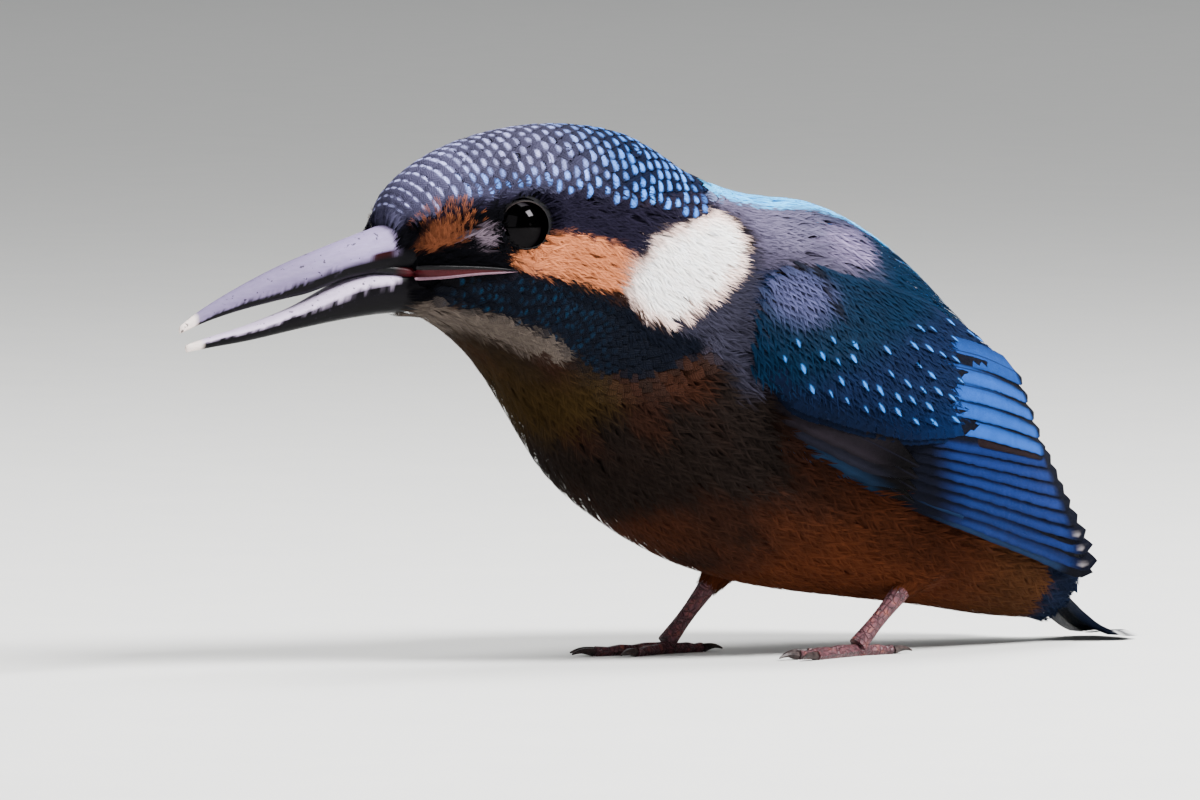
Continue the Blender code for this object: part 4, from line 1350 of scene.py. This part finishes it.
def dress_wing_coverts():
    """Small feathers of both wings, some with a pale drop at the tip."""
    hide = Build.surfaces()
    paint = tones()
    size = sizes()
    finish = feather_finish("Covert down", 3, 0.55, 0.02, shadow=0.62)
    template = Template.plume(9, run=0.45, barb=0.075)
    fine = Template.vane(np.linspace(0, 1, 22) ** 0.7, 9, tip=0.5, root=0.3)
    edge = np.array(COVERTS_EDGE)[::-1]
    for title, side in SIDES.items():
        rng = np.random.default_rng(61)
        coat = Coat()
        for gap, width, lift, web, spots in ((0.82, 1.15, (0.35, 0.6), template, False),
                                             (2.6, 1.9, (0.6, 0.8), fine, True)):
            places = covert_roots(gap)
            places = places + rng.normal(size=places.shape) * 0.14 * gap
            roots = hide.from_side(places, side, hide.flesh)
            length = size["covert_length"] * spread(0.08, len(roots), 62)
            shafts = run_shafts(roots, wing_course, length, steps=6, share=(0.4, 1.0), lift=lift)
            ground, dome = covert_tones(shafts.shown)
            ground = ground * spread(0.14, (len(roots), 1), 63)
            tone = ground[:, None] * (0.8 + 0.2 * step(0.2, 0.9, web.along))[None, :, None]
            if spots:
                ahead, up = -shafts.shown[:, 1], shafts.shown[:, 2]
                clear = up > np.interp(ahead, edge[:, 0], edge[:, 1]) + 1.3
                spotted = step(10.5, 8.5, ahead) * step(45.4, 44.2, up + 0.05 * ahead) * (dome < 0.2) * clear
                keep = (spotted > 0.5) & (rng.random(len(roots)) > 0.22)
                broad = size["covert_spot"] / 1.9 * spread(0.3, len(roots), 65)[:, None]
                drop = step(1.2, 0.4, np.hypot((web.along[None] - 0.84) / 0.75, web.across[None]) / broad)
                tone = mixed(tone, paint["covert_spot"], drop)
                shafts, tone = shafts.take(keep), tone[keep]
            coat.add(web, shafts, width, np.minimum(tone, 1), arch=0.04, ragged=0.12 if spots else 0.25,
                     streak=0.14, seed=64)
        # The lowest row is longer and closes smoothly over the long feathers' roots.
        tips = eased(COVERTS_EDGE, np.linspace(0, len(COVERTS_EDGE) - 1, 34))
        for back, lift, dark in ((2.2, 0.35, 0.6), (0.0, 0.55, 0.8)):
            places = tips + np.array((2.5, 4.25)) + np.array((0.0, -back * 0.4))
            shafts = run_shafts(hide.from_side(places, side, hide.flesh), wing_course, 6.2, steps=6,
                                share=(0.5, 1.0), lift=(lift, lift))
            ahead = -shafts.shown[:, 1]
            ground = mixed(paint["covert"], paint["greater"], step(-2, -18, ahead))
            ground = ground * (0.55 + 0.45 * step(-10, -24, ahead))[:, None]
            ground = ground * spread(0.15, (len(tips), 1), 66) * dark
            rim = 1 - 0.55 * step(0.6, 1.0, fine.across * side * -1) - 0.3 * step(0.2, 0.0, fine.along)
            tone = np.minimum(ground[:, None] * rim[None, :, None], 1)
            coat.add(fine, shafts, 3.1, tone, arch=0.05, ragged=0.08, streak=0.10, seed=67)
        coat.build(f"wing_{title}_covert_feathers", finish)


def laid(rows, side, lift, buried=1.6, risen=0.45):
    """Shafts on the wing's outside, roots buried, from rows of (root ahead, root up, tip ahead, tip up)."""
    hide = Build.surfaces()
    t = np.linspace(0, 1, 13)[None, :, None]
    places = rows[:, None, :2] * (1 - t) + rows[:, None, 2:] * t
    out = Build.wing(side, places.reshape(-1, 2)).reshape(*places.shape[:2], 1)
    points = np.concatenate((out, -places[..., :1], places[..., 1:]), -1)
    outward = hide.coat.normal(*hide.locate(points.reshape(-1, 3))).reshape(points.shape)
    for _ in range(8):
        outward[:, 1:-1] = unit(outward[:, :-2] + outward[:, 1:-1] * 2 + outward[:, 2:])
    depth = np.asarray(lift)[:, None, None] - buried * (1 - step(0.0, risen, t)) + 0.15 * t ** 3
    return Shafts(points + outward * depth, outward, points[:, 0])


def fanned(first, last, count):
    """Rows of a fan of feathers between two of them."""
    t = np.linspace(0, 1, count)[:, None]
    return np.array(first) * (1 - t) + np.array(last) * t


def web_tones(template, side, outer, inner, splits, tip_from, fade, dot=None):
    """Long feathers' colours: the outer web, the inner web beyond a split (root, tip), and the dark tip."""
    across, t = template.across * side, template.along
    splits = np.broadcast_to(splits, (len(outer), 2))
    split = splits[:, :1] + (splits[:, 1:] - splits[:, :1]) * t
    later = np.linspace(0, 0.1, len(outer))[:, None]
    blue = step(split + 0.07, split - 0.07, across[None]) * step(tip_from + 0.02, tip_from - 0.04, t)
    blue = blue * step(*fade, t[None] + later)
    glow = 0.45 + 0.75 * step(split + 0.1, (split - 1) * 0.5, across[None]) * step(-1.1, -0.8, across)
    tone = mixed(inner[:, None], outer[:, None] * glow[..., None], blue)
    if dot is not None:
        # Only the lowest three feathers have a pale dot.
        near = step(0.016, 0.008, np.hypot(t - 0.985, (across + 0.6) * 0.06))
        tone = mixed(tone, dot, near[None, :] * (np.arange(len(outer)) < 3)[:, None])
    return tone


FLIGHT_WIDTH = 5.6      # width that the fans below are drawn for
FLIGHT = (
    # outer web, first and last feather of the fan (root and tip), how many, width, first and last lift,
    # splits at the root and the tip, where the dark tip starts, where the outer web's colour comes in,
    # how far along the feathers come up from under the small ones
    ("flight_low", (-2, 25.5, -50.6, 10.8), (-3, 27.0, -50.4, 12.2), 3, 4.4, -0.5, -0.3,
     (-0.6, -0.5), 0.92, (0.30, 0.50), 0.45),
    ("flight", (-5, 25.6, -50.8, 12.6), (-8, 33.4, -40.8, 27.0), 8, 5.6, -0.2, 0.5,
     (-0.68, -0.40), 0.95, (0.30, 0.46), 0.45),
    ("flight_brown", (-8, 33.5, -38.2, 27.3), (-8, 33.5, -38.2, 27.3), 1, 3.4, 0.62, 0.62,
     (0.5, 0.5), 0.97, (0.0, 0.1), 0.6),
    ("tertial", (-8, 35.6, -38.8, 28.2), (-16, 43.3, -35.4, 37.4), 5, 4.4, 0.75, 1.15,
     (0.5, -0.25), 0.985, (0.0, 0.1), 0.6),
)


def dress_flight():
    """Long feathers of both wings: tertials, secondaries, primaries and the thumb feathers."""
    paint = tones()
    finish = feather_finish("Flight web", 90, 0.5, 0.03, shaft=0.03)
    wider = sizes()["flight_width"] / FLIGHT_WIDTH
    for title, side in SIDES.items():
        coat = Coat()
        template = Template.vane(np.linspace(0, 1, 44), 15, tip=0.06, root=0.12, slant=0.055 * side)
        for number, fan in enumerate(FLIGHT):
            web, first, last, count, width, low, high, splits, tip, fade, risen = fan
            shafts = laid(fanned(first, last, count), side, np.linspace(low, high, count) + 0.3, risen=risen)
            outer = paint[web] * spread(0.15, (count, 1), 71 + number)
            inner = paint["flight_dark"] * spread(0.12, (count, 1), 75 + number)
            splits = np.array([splits] * count)
            if web == "tertial":
                # The topmost feather shows its outer web over its whole width, darkened by painted shade.
                splits[-1] = 1.4
                outer[-1] *= 0.65
            tone = web_tones(template, side, outer, inner, splits, tip, fade,
                             dot=shade(200, 190, 190) if web == "flight" else None)
            coat.add(template, shafts, width * wider, tone, arch=0.025, ragged=0.03, streak=0.06,
                     seed=80 + number)
        piece = coat.build(f"wing_{title}_flight_feathers", finish)
        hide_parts(f"wing_{title}_secondaries", f"wing_{title}_primaries")
        coat = Coat()
        thumb = Template.vane(np.linspace(0, 1, 26), 9, tip=0.3, root=0.15)
        shafts = laid(fanned((13, 34.0, -14, 21.4), (13, 37.8, -13, 26.4), 4), side,
                      np.linspace(-0.05, 0.35, 4), buried=0.8)
        outer = mixed(paint["alula"], paint["alula_edge"], (1.0, 0.8, 0.15, 0.0))
        inner = paint["alula"] * np.array((0.3, 0.4, 0.9, 0.7))[:, None]
        tone = web_tones(thumb, side, outer, inner, (-0.4, -0.4), 0.98, (0.0, 0.1))
        tone = tone * (1 - 0.8 * step(0.62, 0.9, thumb.along))[None, :, None]
        coat.add(thumb, shafts, 5.4, tone, arch=0.03, ragged=0.04, streak=0.06, seed=90)
        coat.build(f"wing_{title}_thumb_feathers", finish)


def dress_tail():
    """Twelve tail feathers, laid over each other with the middle pair on top."""
    paint = tones()
    finish = feather_finish("Tail web", 30, 0.45, 0.03, shaft=0.03)
    low, high = (np.array(corner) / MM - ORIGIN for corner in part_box("tail"))
    template = Template.vane(np.linspace(0, 1, 26), 9, tip=0.18, root=0.2)
    t = np.linspace(0, 1, 9)
    course = []
    for order in range(5, -1, -1):
        for side in (-1, 1):
            x = (order + 0.5) / 6 * side * (0.55 + 0.45 * t) * (high[0] * 0.80)
            y = low[1] + (high[1] - low[1]) * (t - 0.3 * (1 - t)) - order * 0.25
            fall = (high[2] - low[2] - 0.6) * np.maximum(1.12 - 1.35 * t, 0) ** 1.6
            z = low[2] + 0.55 + (5 - order) * 0.10 + fall
            course.append(np.stack((x, y, z), 1))
    course = np.array(course)
    outs = unit(np.cross(np.array((1.0, 0, 0)), np.gradient(course, axis=1)))
    shafts = Shafts(course, outs * np.sign(outs[..., 2:]), course[:, 0])
    tone = paint["tail"] * spread(0.2, (12, 1), 95)
    tone = tone[:, None] * (0.6 + 0.4 * step(0.9, 0.2, np.abs(template.across)))[None, :, None]
    coat = Coat()
    coat.add(template, shafts, sizes()["tail_width"], tone, arch=0.05, ragged=0.04, streak=0.08, seed=96)
    piece = coat.build("tail_feathers", finish)
    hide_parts("tail")


# ------------------------------------------------------------------ bill
BILL_RING = 48      # points round each mandible
BILL_TURNS = np.linspace(0, 2 * math.pi, BILL_RING + 1)[:-1]


def half_of_bill(name, upper):
    """One mandible as rings from tip to root, measured from its solid and run on under the feathers."""
    points, faces = node_mesh([name])
    tree = BVHTree.FromPolygons(points.tolist(), faces.tolist())
    low, high = points.min(0), points.max(0)
    far_up, far_out = 200, 50               # where the measuring rays start
    rings = []
    for y in low[1] + (high[1] - low[1]) * np.linspace(0.002, 0.998, 90):
        top = tree.ray_cast(Vector((0, y, far_up)), Vector((0, 0, -1)))[0]
        bottom = tree.ray_cast(Vector((0, y, -far_up)), Vector((0, 0, 1)))[0]
        if top is None or bottom is None:
            continue
        edge = tree.ray_cast(Vector((far_out, y, (top.z + bottom.z) / 2)), Vector((-1, 0, 0)))[0]
        rings.append((y, top.z, bottom.z, edge.x if edge is not None else 0.3))
    rings = np.array(rings)
    even_out(rings[:, 1:], 8)
    # The root runs on under the feathers, a little wider.
    root = rings[np.argmin(np.abs(-rings[:, 0] - (64.6 if upper else 62.6)))]
    slope = (0.27, 0.09, 0.16) if upper else (0.10, 0.05, 0.14)
    rings = rings[rings[:, 0] < root[0]]
    back = np.linspace(0, 6.4, 22)
    flare = np.stack((back, *(back * k for k in slope)), 1)
    flare[:, 3] += 0.9 * step(2.5, 6.0, back)
    rings = np.concatenate((rings, root + flare))
    ahead = -rings[:, 0]
    if upper:
        rings[:, 1] = np.minimum(rings[:, 1], 60.3) - 0.7 * step(76, 94, ahead)
        rings[:, 2] -= 0.9 * step(68, 76, ahead)
    else:
        rings[:, 1] += 1.3 * step(78, 64, ahead)
    rings[:, 0] += 0.036 * np.maximum(ahead - 62, 0)
    c, s = np.cos(BILL_TURNS), np.sin(BILL_TURNS)
    # The outer face is round with a ridge, the biting face flat between two sharp edges.
    across = np.sign(c) * np.abs(c) ** 0.95
    rise = np.sign(s) * np.abs(s) ** np.where((s > 0) == upper, 1.05, 0.6)
    y, top, bottom, half = rings.T[..., None]
    return np.stack((half * across, y + 0 * c, (top + bottom) / 2 + (top - bottom) / 2 * rise), 2)


def strip(path, side, width, height, lift, knots=44, sections=9):
    """A raised strip along a path of the side view on the coat, thin at both ends."""
    hide = Build.surfaces()
    last = len(path) - 1
    t = np.linspace(0, last, knots)
    line = eased(path, t)
    slope = unit(np.gradient(line, axis=0))
    beside = np.stack((-slope[:, 1], slope[:, 0]), 1)
    x = np.linspace(-1, 1, sections)
    swell = np.interp(t, (0, 0.25, last - 0.4, last), (0.7, 1.0, 0.8, 0.05))
    width = np.interp(np.linspace(0, 1, knots), np.linspace(0, 1, len(width)), width)
    places = line[:, None] + beside[:, None] * (x[None, :] * (swell * width)[:, None] / 2)[..., None]
    points = hide.from_side(places.reshape(-1, 2), side, hide.coat)
    outward = hide.coat.normal(*hide.locate(points))
    raised = (np.sqrt(1 - x ** 2) * height)[None, :] * swell[:, None] + lift
    return points + outward * raised.reshape(-1, 1), net_faces(knots, sections, closed=False, turned=side > 0)


def dress_mouth():
    """Lips from the bill to below the eyes, and the red mouth between them."""
    paint = tones()
    w = Wiring("Mouth", Specular_IOR_Level=0.12)
    folds = w.noise(2.4, 4.0)
    finish = w.feed(Base_Color=w.shaded_ground(folds, (0.55, 0.5, 0.5)),
                    Roughness=folds * 0.3 + 0.3, Normal=w.bump(folds, 0.08))
    rows = (
        # colour, path (ahead, up), widths along it, height, lift
        ("bill_nostril",
         ((59.6, 53.9), (56.0, 54.1), (52.0, 54.3), (48.0, 54.3)), (1.5, 1.4, 0.9, 0.3), 0.05, 0.10),
        ("lip",
         ((59.6, 53.2), (56.0, 53.5), (52.0, 53.9), (46.8, 54.1)), (0.4, 0.4, 0.4, 0.3), 0.20, 0.12),
        ("bill_dark",
         ((59.6, 54.8), (56.0, 54.8), (52.0, 54.7), (46.8, 54.3)), (0.6, 0.6, 0.5, 0.4), 0.20, 0.12),
    )
    for title, side in SIDES.items():
        points, faces, tone = [], [], []
        for name, path, width, height, lift in rows:
            here, web = strip(path, side, width, height, lift)
            faces.append(web + sum(map(len, points)))
            points.append(here)
            tone.append(paint[name] * spread(0.1, (len(here), 1), 105))
        piece = make_piece(f"lips_{title}", np.concatenate(points), np.concatenate(faces), finish,
                           tones=np.concatenate(tone))
    turns = ring_angles(32)
    rings = (
        # ahead, up, half of the width, half of the height
        (55.0, 53.8, 4.6, 1.1), (60.0, 54.2, 4.2, 1.3), (62.0, 54.5, 3.6, 1.3), (64.0, 54.7, 3.2, 1.2),
        (66.0, 54.8, 2.8, 1.0), (68.0, 54.6, 2.4, 0.7), (69.0, 54.4, 1.6, 0.3), (69.4, 54.4, 0.6, 0.05),
    )
    lining = np.array([np.stack((np.cos(turns) * half, 0 * turns - ahead, up + np.sin(turns) * tall), 1)
                       for ahead, up, half, tall in rings])
    tone = mixed(paint["bill_nostril"], paint["mask"], step(60.2, 61.2, -lining[..., 1])).reshape(-1, 3)
    piece = make_piece("mouth_lining", lining.reshape(-1, 3), net_faces(len(rings), 32, turned=True), finish,
                       tones=tone)


def dress_bill():
    """Both mandibles, with the nostrils, the pale edges and the worn pale tips."""
    w = Wiring("Bill horn", Specular_IOR_Level=0.05)
    where = w.place()
    stretched = w.add("ShaderNodeMapping", None, {0: where, "Scale": (1.0, 0.18, 1.0)})
    grain = w.noise(2.2, 5.0, stretched)
    fleck = w.between(w.noise(1.3, 2.0, where, 0.5), 0.66, 0.70)
    tone = w.mix(fleck * 0.8, w.shaded_ground(grain, (0.6, 0.58, 0.62)), shade(22, 18, 26))
    finish = w.feed(Base_Color=tone, Roughness=grain * 0.25 + 0.3, Normal=w.bump(grain, 0.03))
    paint = tones()
    for name, upper in (("bill_upper", True), ("bill_lower", False)):
        body = half_of_bill(name, upper)
        height = (body[..., 2] - body[..., 2].min(1, keepdims=True)) / np.ptp(body[..., 2], axis=1)[:, None]
        ahead = -body[..., 1]
        seed = 101 if upper else 102
        rough = ripple(body * (1, 1, 0.2), 1.1, seed) * 0.05 + ripple(body, 6, seed + 2) * 0.05
        if upper:
            # Painted sheen: the upper mandible's top is pale lavender over the dark horn, brighter near the
            # root.
            dark = 0.32 + 0.14 * step(84, 64, ahead)
            pale = step(-0.05, 0.05, height + rough - dark)
            ridge = paint["bill_ridge"] * (0.8 + 0.36 * step(78, 66, ahead))[..., None]
            tone = mixed(paint["bill_dark"], ridge, pale)
            slit = np.hypot((ahead - 62.9) / 2.7, (body[..., 2] - 56.7 + (ahead - 62.9) * 0.1) / 0.30)
            body[..., 0] -= np.sign(body[..., 0]) * step(1.2, 0.4, slit) * 0.45
            tone = mixed(tone, paint["bill_nostril"] * 0.4, step(1.3, 0.7, slit))
            tone = mixed(tone, paint["mask"], step(61.9, 61.3, ahead + rough * 6))
        else:
            pale = step(0.62, 0.74, height + rough) * step(60.6, 61.4, ahead)
            tone = mixed(paint["bill_dark"], paint["bill_edge"], pale)
        worn = step(1.2, 0.8, (body[..., 1] - body[0, 0, 1]) / sizes()["bill_tip"])
        tone = mixed(tone, paint["bill_tip"], worn)
        ends = body[[0, -1]].mean(1)
        ends[0, 1] -= 0.25
        # Each end closes on a middle point.
        rows, columns = body.shape[:2]
        k = np.arange(columns)
        after, last, tip = (k + 1) % columns, (rows - 1) * columns, rows * columns
        caps = [np.stack((after, k, 0 * k + tip), 1), np.stack((last + k, last + after, 0 * k + tip + 1), 1)]
        piece = make_piece(f"{name}_horn", np.concatenate((body.reshape(-1, 3), ends)),
                           np.concatenate((net_faces(rows, columns), *caps)), finish,
                           tones=np.concatenate((tone.reshape(-1, 3), tone[[0, -1], 0])))
        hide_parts(name)


# ------------------------------------------------------------------ eyes
def dress_eyes():
    """Glossy dark eyes and their lids."""
    paint = tones()
    opening = sizes()["eye_opening"]
    # A dark mirror that doesn't brighten at its rim, as a wet eye in its socket's shade.
    w = Wiring("Eye", Metallic=1.0, Roughness=0.06, Specular_Tint=(0, 0, 0, 1))
    eye_finish = w.feed(Base_Color=w.mix(w.noise(2.5, 4.0) * 0.5 + 0.4, w.ground(), (0.007, 0.0065, 0.007)))
    w = Wiring("Lid", Specular_IOR_Level=0.15)
    folds = w.noise(3.5, 4.0)
    lid_finish = w.feed(Base_Color=w.shaded_ground(folds, (0.5, 0.5, 0.5)),
                        Roughness=folds * 0.2 + 0.6, Normal=w.bump(folds, 0.08))
    rings, columns = 40, 64
    away = np.linspace(0, math.pi / 2, rings)
    around = np.linspace(0, 2 * math.pi, columns + 1)[:-1]
    bulge = EYE_RADIUS + 0.12 * np.exp(-(away / 0.5) ** 2)
    reach = np.sin(away)[:, None] * EYE_RADIUS + 0 * around
    tone = mixed(np.zeros(3), paint["iris"], step(1.7, 2.1, reach)).reshape(-1, 3)
    # The lids close in a low oval, with a thin bead along their rim: (past the opening, over the ball).
    profile = ((-0.10, -0.12), (-0.07, 0.03), (0.0, 0.10), (0.12, 0.10), (0.24, 0.02), (0.42, -0.10),
               (0.7, -0.3), (1.1, -0.6), (1.5, -1.1))
    oval = 1 + 0.05 * np.cos(2 * around)
    last = opening + 0.2
    for title, side in SIDES.items():
        centre, axis, before, above = eye_frame(side)
        spoke = np.cos(around)[:, None] * before + np.sin(around)[:, None] * above
        ball = (np.cos(away) * bulge)[:, None, None] * axis + (np.sin(away) * bulge)[:, None, None] * spoke
        piece = make_piece(f"eye_{title}_ball", ball.reshape(-1, 3) + centre,
                           net_faces(rings, columns, turned=side > 0), eye_finish, tones=tone)
        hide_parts(f"eye_{title}")
        lid, lid_tone = [], []
        for number, (past, lift) in enumerate(profile):
            bead = 0.02 * np.sin(around * 22) * (2 <= number <= 4)
            flat = (opening + past) * oval
            over = np.sqrt(EYE_RADIUS ** 2 - np.minimum(flat, last) ** 2)
            out = over + lift + bead - np.maximum(flat - last, 0) * 0.3
            lid.append(out[:, None] * axis + flat[:, None] * spoke + centre)
            rim = step(last, opening, opening + past) * step(0.2, 0.9, np.sin(around))
            lid_tone.append(mixed(paint["mask"], paint["lid"], rim * 0.04))
        piece = make_piece(f"eye_{title}_lids", np.concatenate(lid),
                           net_faces(len(profile), columns, turned=side > 0), lid_finish,
                           tones=np.concatenate(lid_tone))


# ------------------------------------------------------------------ feet
def dress_feet():
    """Scaly finish of the feet and smooth dark claws, on the solids."""
    w = Wiring("Foot scales", Specular_IOR_Level=0.25)
    where = w.place()
    scale = w.add("ShaderNodeTexVoronoi", {"feature": "DISTANCE_TO_EDGE"}, {"Vector": where, "Scale": 1.3})
    worn = w.noise(0.8, 4.0, where)
    tone = w.ramp(worn, (0.3, shade(50, 30, 36)), (0.55, shade(88, 52, 58)), (0.75, shade(132, 74, 62)))
    groove = 1 - w.between(scale, 0.0, 0.12)
    tone = w.mix(groove * 0.7, tone, shade(30, 14, 16))
    foot_finish = w.feed(Base_Color=tone, Roughness=worn * 0.3 + 0.3,
                         Normal=w.bump(w.between(scale, 0.0, 0.2) + worn * 0.3, 0.12))
    w = Wiring("Claw horn", Specular_IOR_Level=0.12)
    grain = w.noise(1.5, 4.0)
    claw_finish = w.feed(Base_Color=w.ramp(grain, (0.3, shade(20, 16, 18)), (0.7, shade(66, 54, 52))),
                         Roughness=grain * 0.2 + 0.25, Normal=w.bump(grain, 0.03))
    for name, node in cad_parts.items():
        if name.startswith(("foot_", "claw_")):
            finish = foot_finish if name.startswith("foot_") else claw_finish
            for index in range(len(node.material_slots)):
                node.material_slots[index].link = "OBJECT"
                node.material_slots[index].material = finish


# ------------------------------------------------------------------ stage
LAMPS = (
    # name, place and size in metres, power
    ("key", (0.62, 0.28, 0.80), 0.34, 42.0),
    ("top", (-0.05, 0.20, 0.95), 0.5, 14.0),
    ("fill", (0.45, -0.90, 0.45), 0.8, 3.0),
    ("sky", (-1.5, 2.5, 3.0), 4.0, 70.0),
)
LAMPS_AIM = Vector((0, 0, 0.035))
CAMERA_AIM = Vector((-13.67, -0.39, 34.88)) * MM
CAMERA_TURN, CAMERA_RISE = math.radians(55), math.radians(3)    # round the bird from straight ahead, and up
CAMERA_AWAY, CAMERA_LENS = 2.0, 438


def set_stage():
    """A pale floor, soft lights and the camera."""
    scene = bpy.context.scene
    w = Wiring("Floor paper", Specular_IOR_Level=0.2)
    grain = w.noise(0.05, 6.0)
    tone = w.mix(grain, shade(205, 205, 203), shade(214, 213, 210))
    finish = w.feed(Base_Color=tone, Roughness=grain * 0.2 + 0.7, Normal=w.bump(w.noise(1.5, 4.0), 0.02))
    mesh = bpy.data.meshes.new("floor")
    half = sizes()["floor_side"] * MM / 2
    corner = [(-half, -half, 0), (half, -half, 0), (half, half, 0), (-half, half, 0)]
    mesh.from_pydata(corner, [], [(0, 1, 2, 3)])
    mesh.materials.append(finish)
    floor = bpy.data.objects.new("floor", mesh)
    scene.collection.objects.link(floor)
    world = bpy.data.worlds.new("Studio")
    scene.world = world
    world.use_nodes = True
    back = next(node for node in world.node_tree.nodes if node.type == "BACKGROUND")
    back.inputs["Color"].default_value = (*shade(214, 218, 222), 1)
    back.inputs["Strength"].default_value = 0.36

    def place(name, data, spot, way):
        """An object at a spot that looks along a way."""
        thing = bpy.data.objects.new(name, data)
        thing.location = spot
        thing.rotation_euler = way.to_track_quat("-Z", "Y").to_euler()
        scene.collection.objects.link(thing)
        return thing

    for name, spot, size, power in LAMPS:
        lamp = bpy.data.lights.new(name, "AREA")
        lamp.size, lamp.energy = size, power
        place(name, lamp, spot, LAMPS_AIM - Vector(spot))
    flat = math.cos(CAMERA_RISE)
    away = Vector((math.sin(CAMERA_TURN) * flat, -math.cos(CAMERA_TURN) * flat, math.sin(CAMERA_RISE)))
    camera = bpy.data.cameras.new("camera")
    camera.lens, camera.sensor_width = CAMERA_LENS, 36
    camera.clip_start, camera.clip_end = 0.1, 20
    scene.camera = place("camera", camera, CAMERA_AIM + away * CAMERA_AWAY, -away)


# ------------------------------------------------------------------ add-on
def operator(name, label, task):
    """An operator class that makes one piece or group of like pieces."""
    def execute(self, context):
        task()
        return {"FINISHED"}

    return type(f"KINGFISHER_OT_{name}", (bpy.types.Operator,), {
        "bl_idname": f"kingfisher.{name}", "bl_label": label, "__doc__": task.__doc__, "execute": execute,
        "bl_options": {"REGISTER", "UNDO"}})


OPERATORS = [operator(*row) for row in (
    ("skin", "Skin", dress_skin),
    ("head", "Head feathers", dress_head),
    ("underside", "Breast and belly feathers", dress_underside),
    ("thighs", "Thigh feathers", dress_thighs),
    ("back", "Back feathers", dress_back),
    ("coverts", "Wing coverts", dress_wing_coverts),
    ("flight", "Flight feathers", dress_flight),
    ("tail", "Tail feathers", dress_tail),
    ("bill", "Bill", dress_bill),
    ("mouth", "Mouth and lips", dress_mouth),
    ("eyes", "Eyes", dress_eyes),
    ("feet", "Feet and claws", dress_feet),
    ("stage", "Stage", set_stage),
)]


class KINGFISHER_PT_panel(bpy.types.Panel):
    """Lists the steps of dressing the kingfisher."""

    bl_label = "Kingfisher"
    bl_idname = "KINGFISHER_PT_panel"
    bl_space_type = "VIEW_3D"
    bl_region_type = "UI"
    bl_category = "Kingfisher"

    def draw(self, context):
        for kind in OPERATORS:
            self.layout.operator(kind.bl_idname)
        for group in (context.scene.kingfisher_sizes, context.scene.kingfisher_colours):
            for name in type(group).__annotations__:
                self.layout.prop(group, name)


CLASSES = (KingfisherSizes, KingfisherColours, *OPERATORS, KINGFISHER_PT_panel)


def register():
    for kind in CLASSES:
        bpy.utils.register_class(kind)
    bpy.types.Scene.kingfisher_sizes = bpy.props.PointerProperty(type=KingfisherSizes)
    bpy.types.Scene.kingfisher_colours = bpy.props.PointerProperty(type=KingfisherColours)


def unregister():
    del bpy.types.Scene.kingfisher_sizes
    del bpy.types.Scene.kingfisher_colours
    for kind in reversed(CLASSES):
        bpy.utils.unregister_class(kind)


def main():
    """Dresses the whole bird and writes the two boxes."""
    register()
    for kind in OPERATORS:
        group, name = kind.bl_idname.split(".")
        getattr(getattr(bpy.ops, group), name)()


if __name__ == "__main__":
    main()
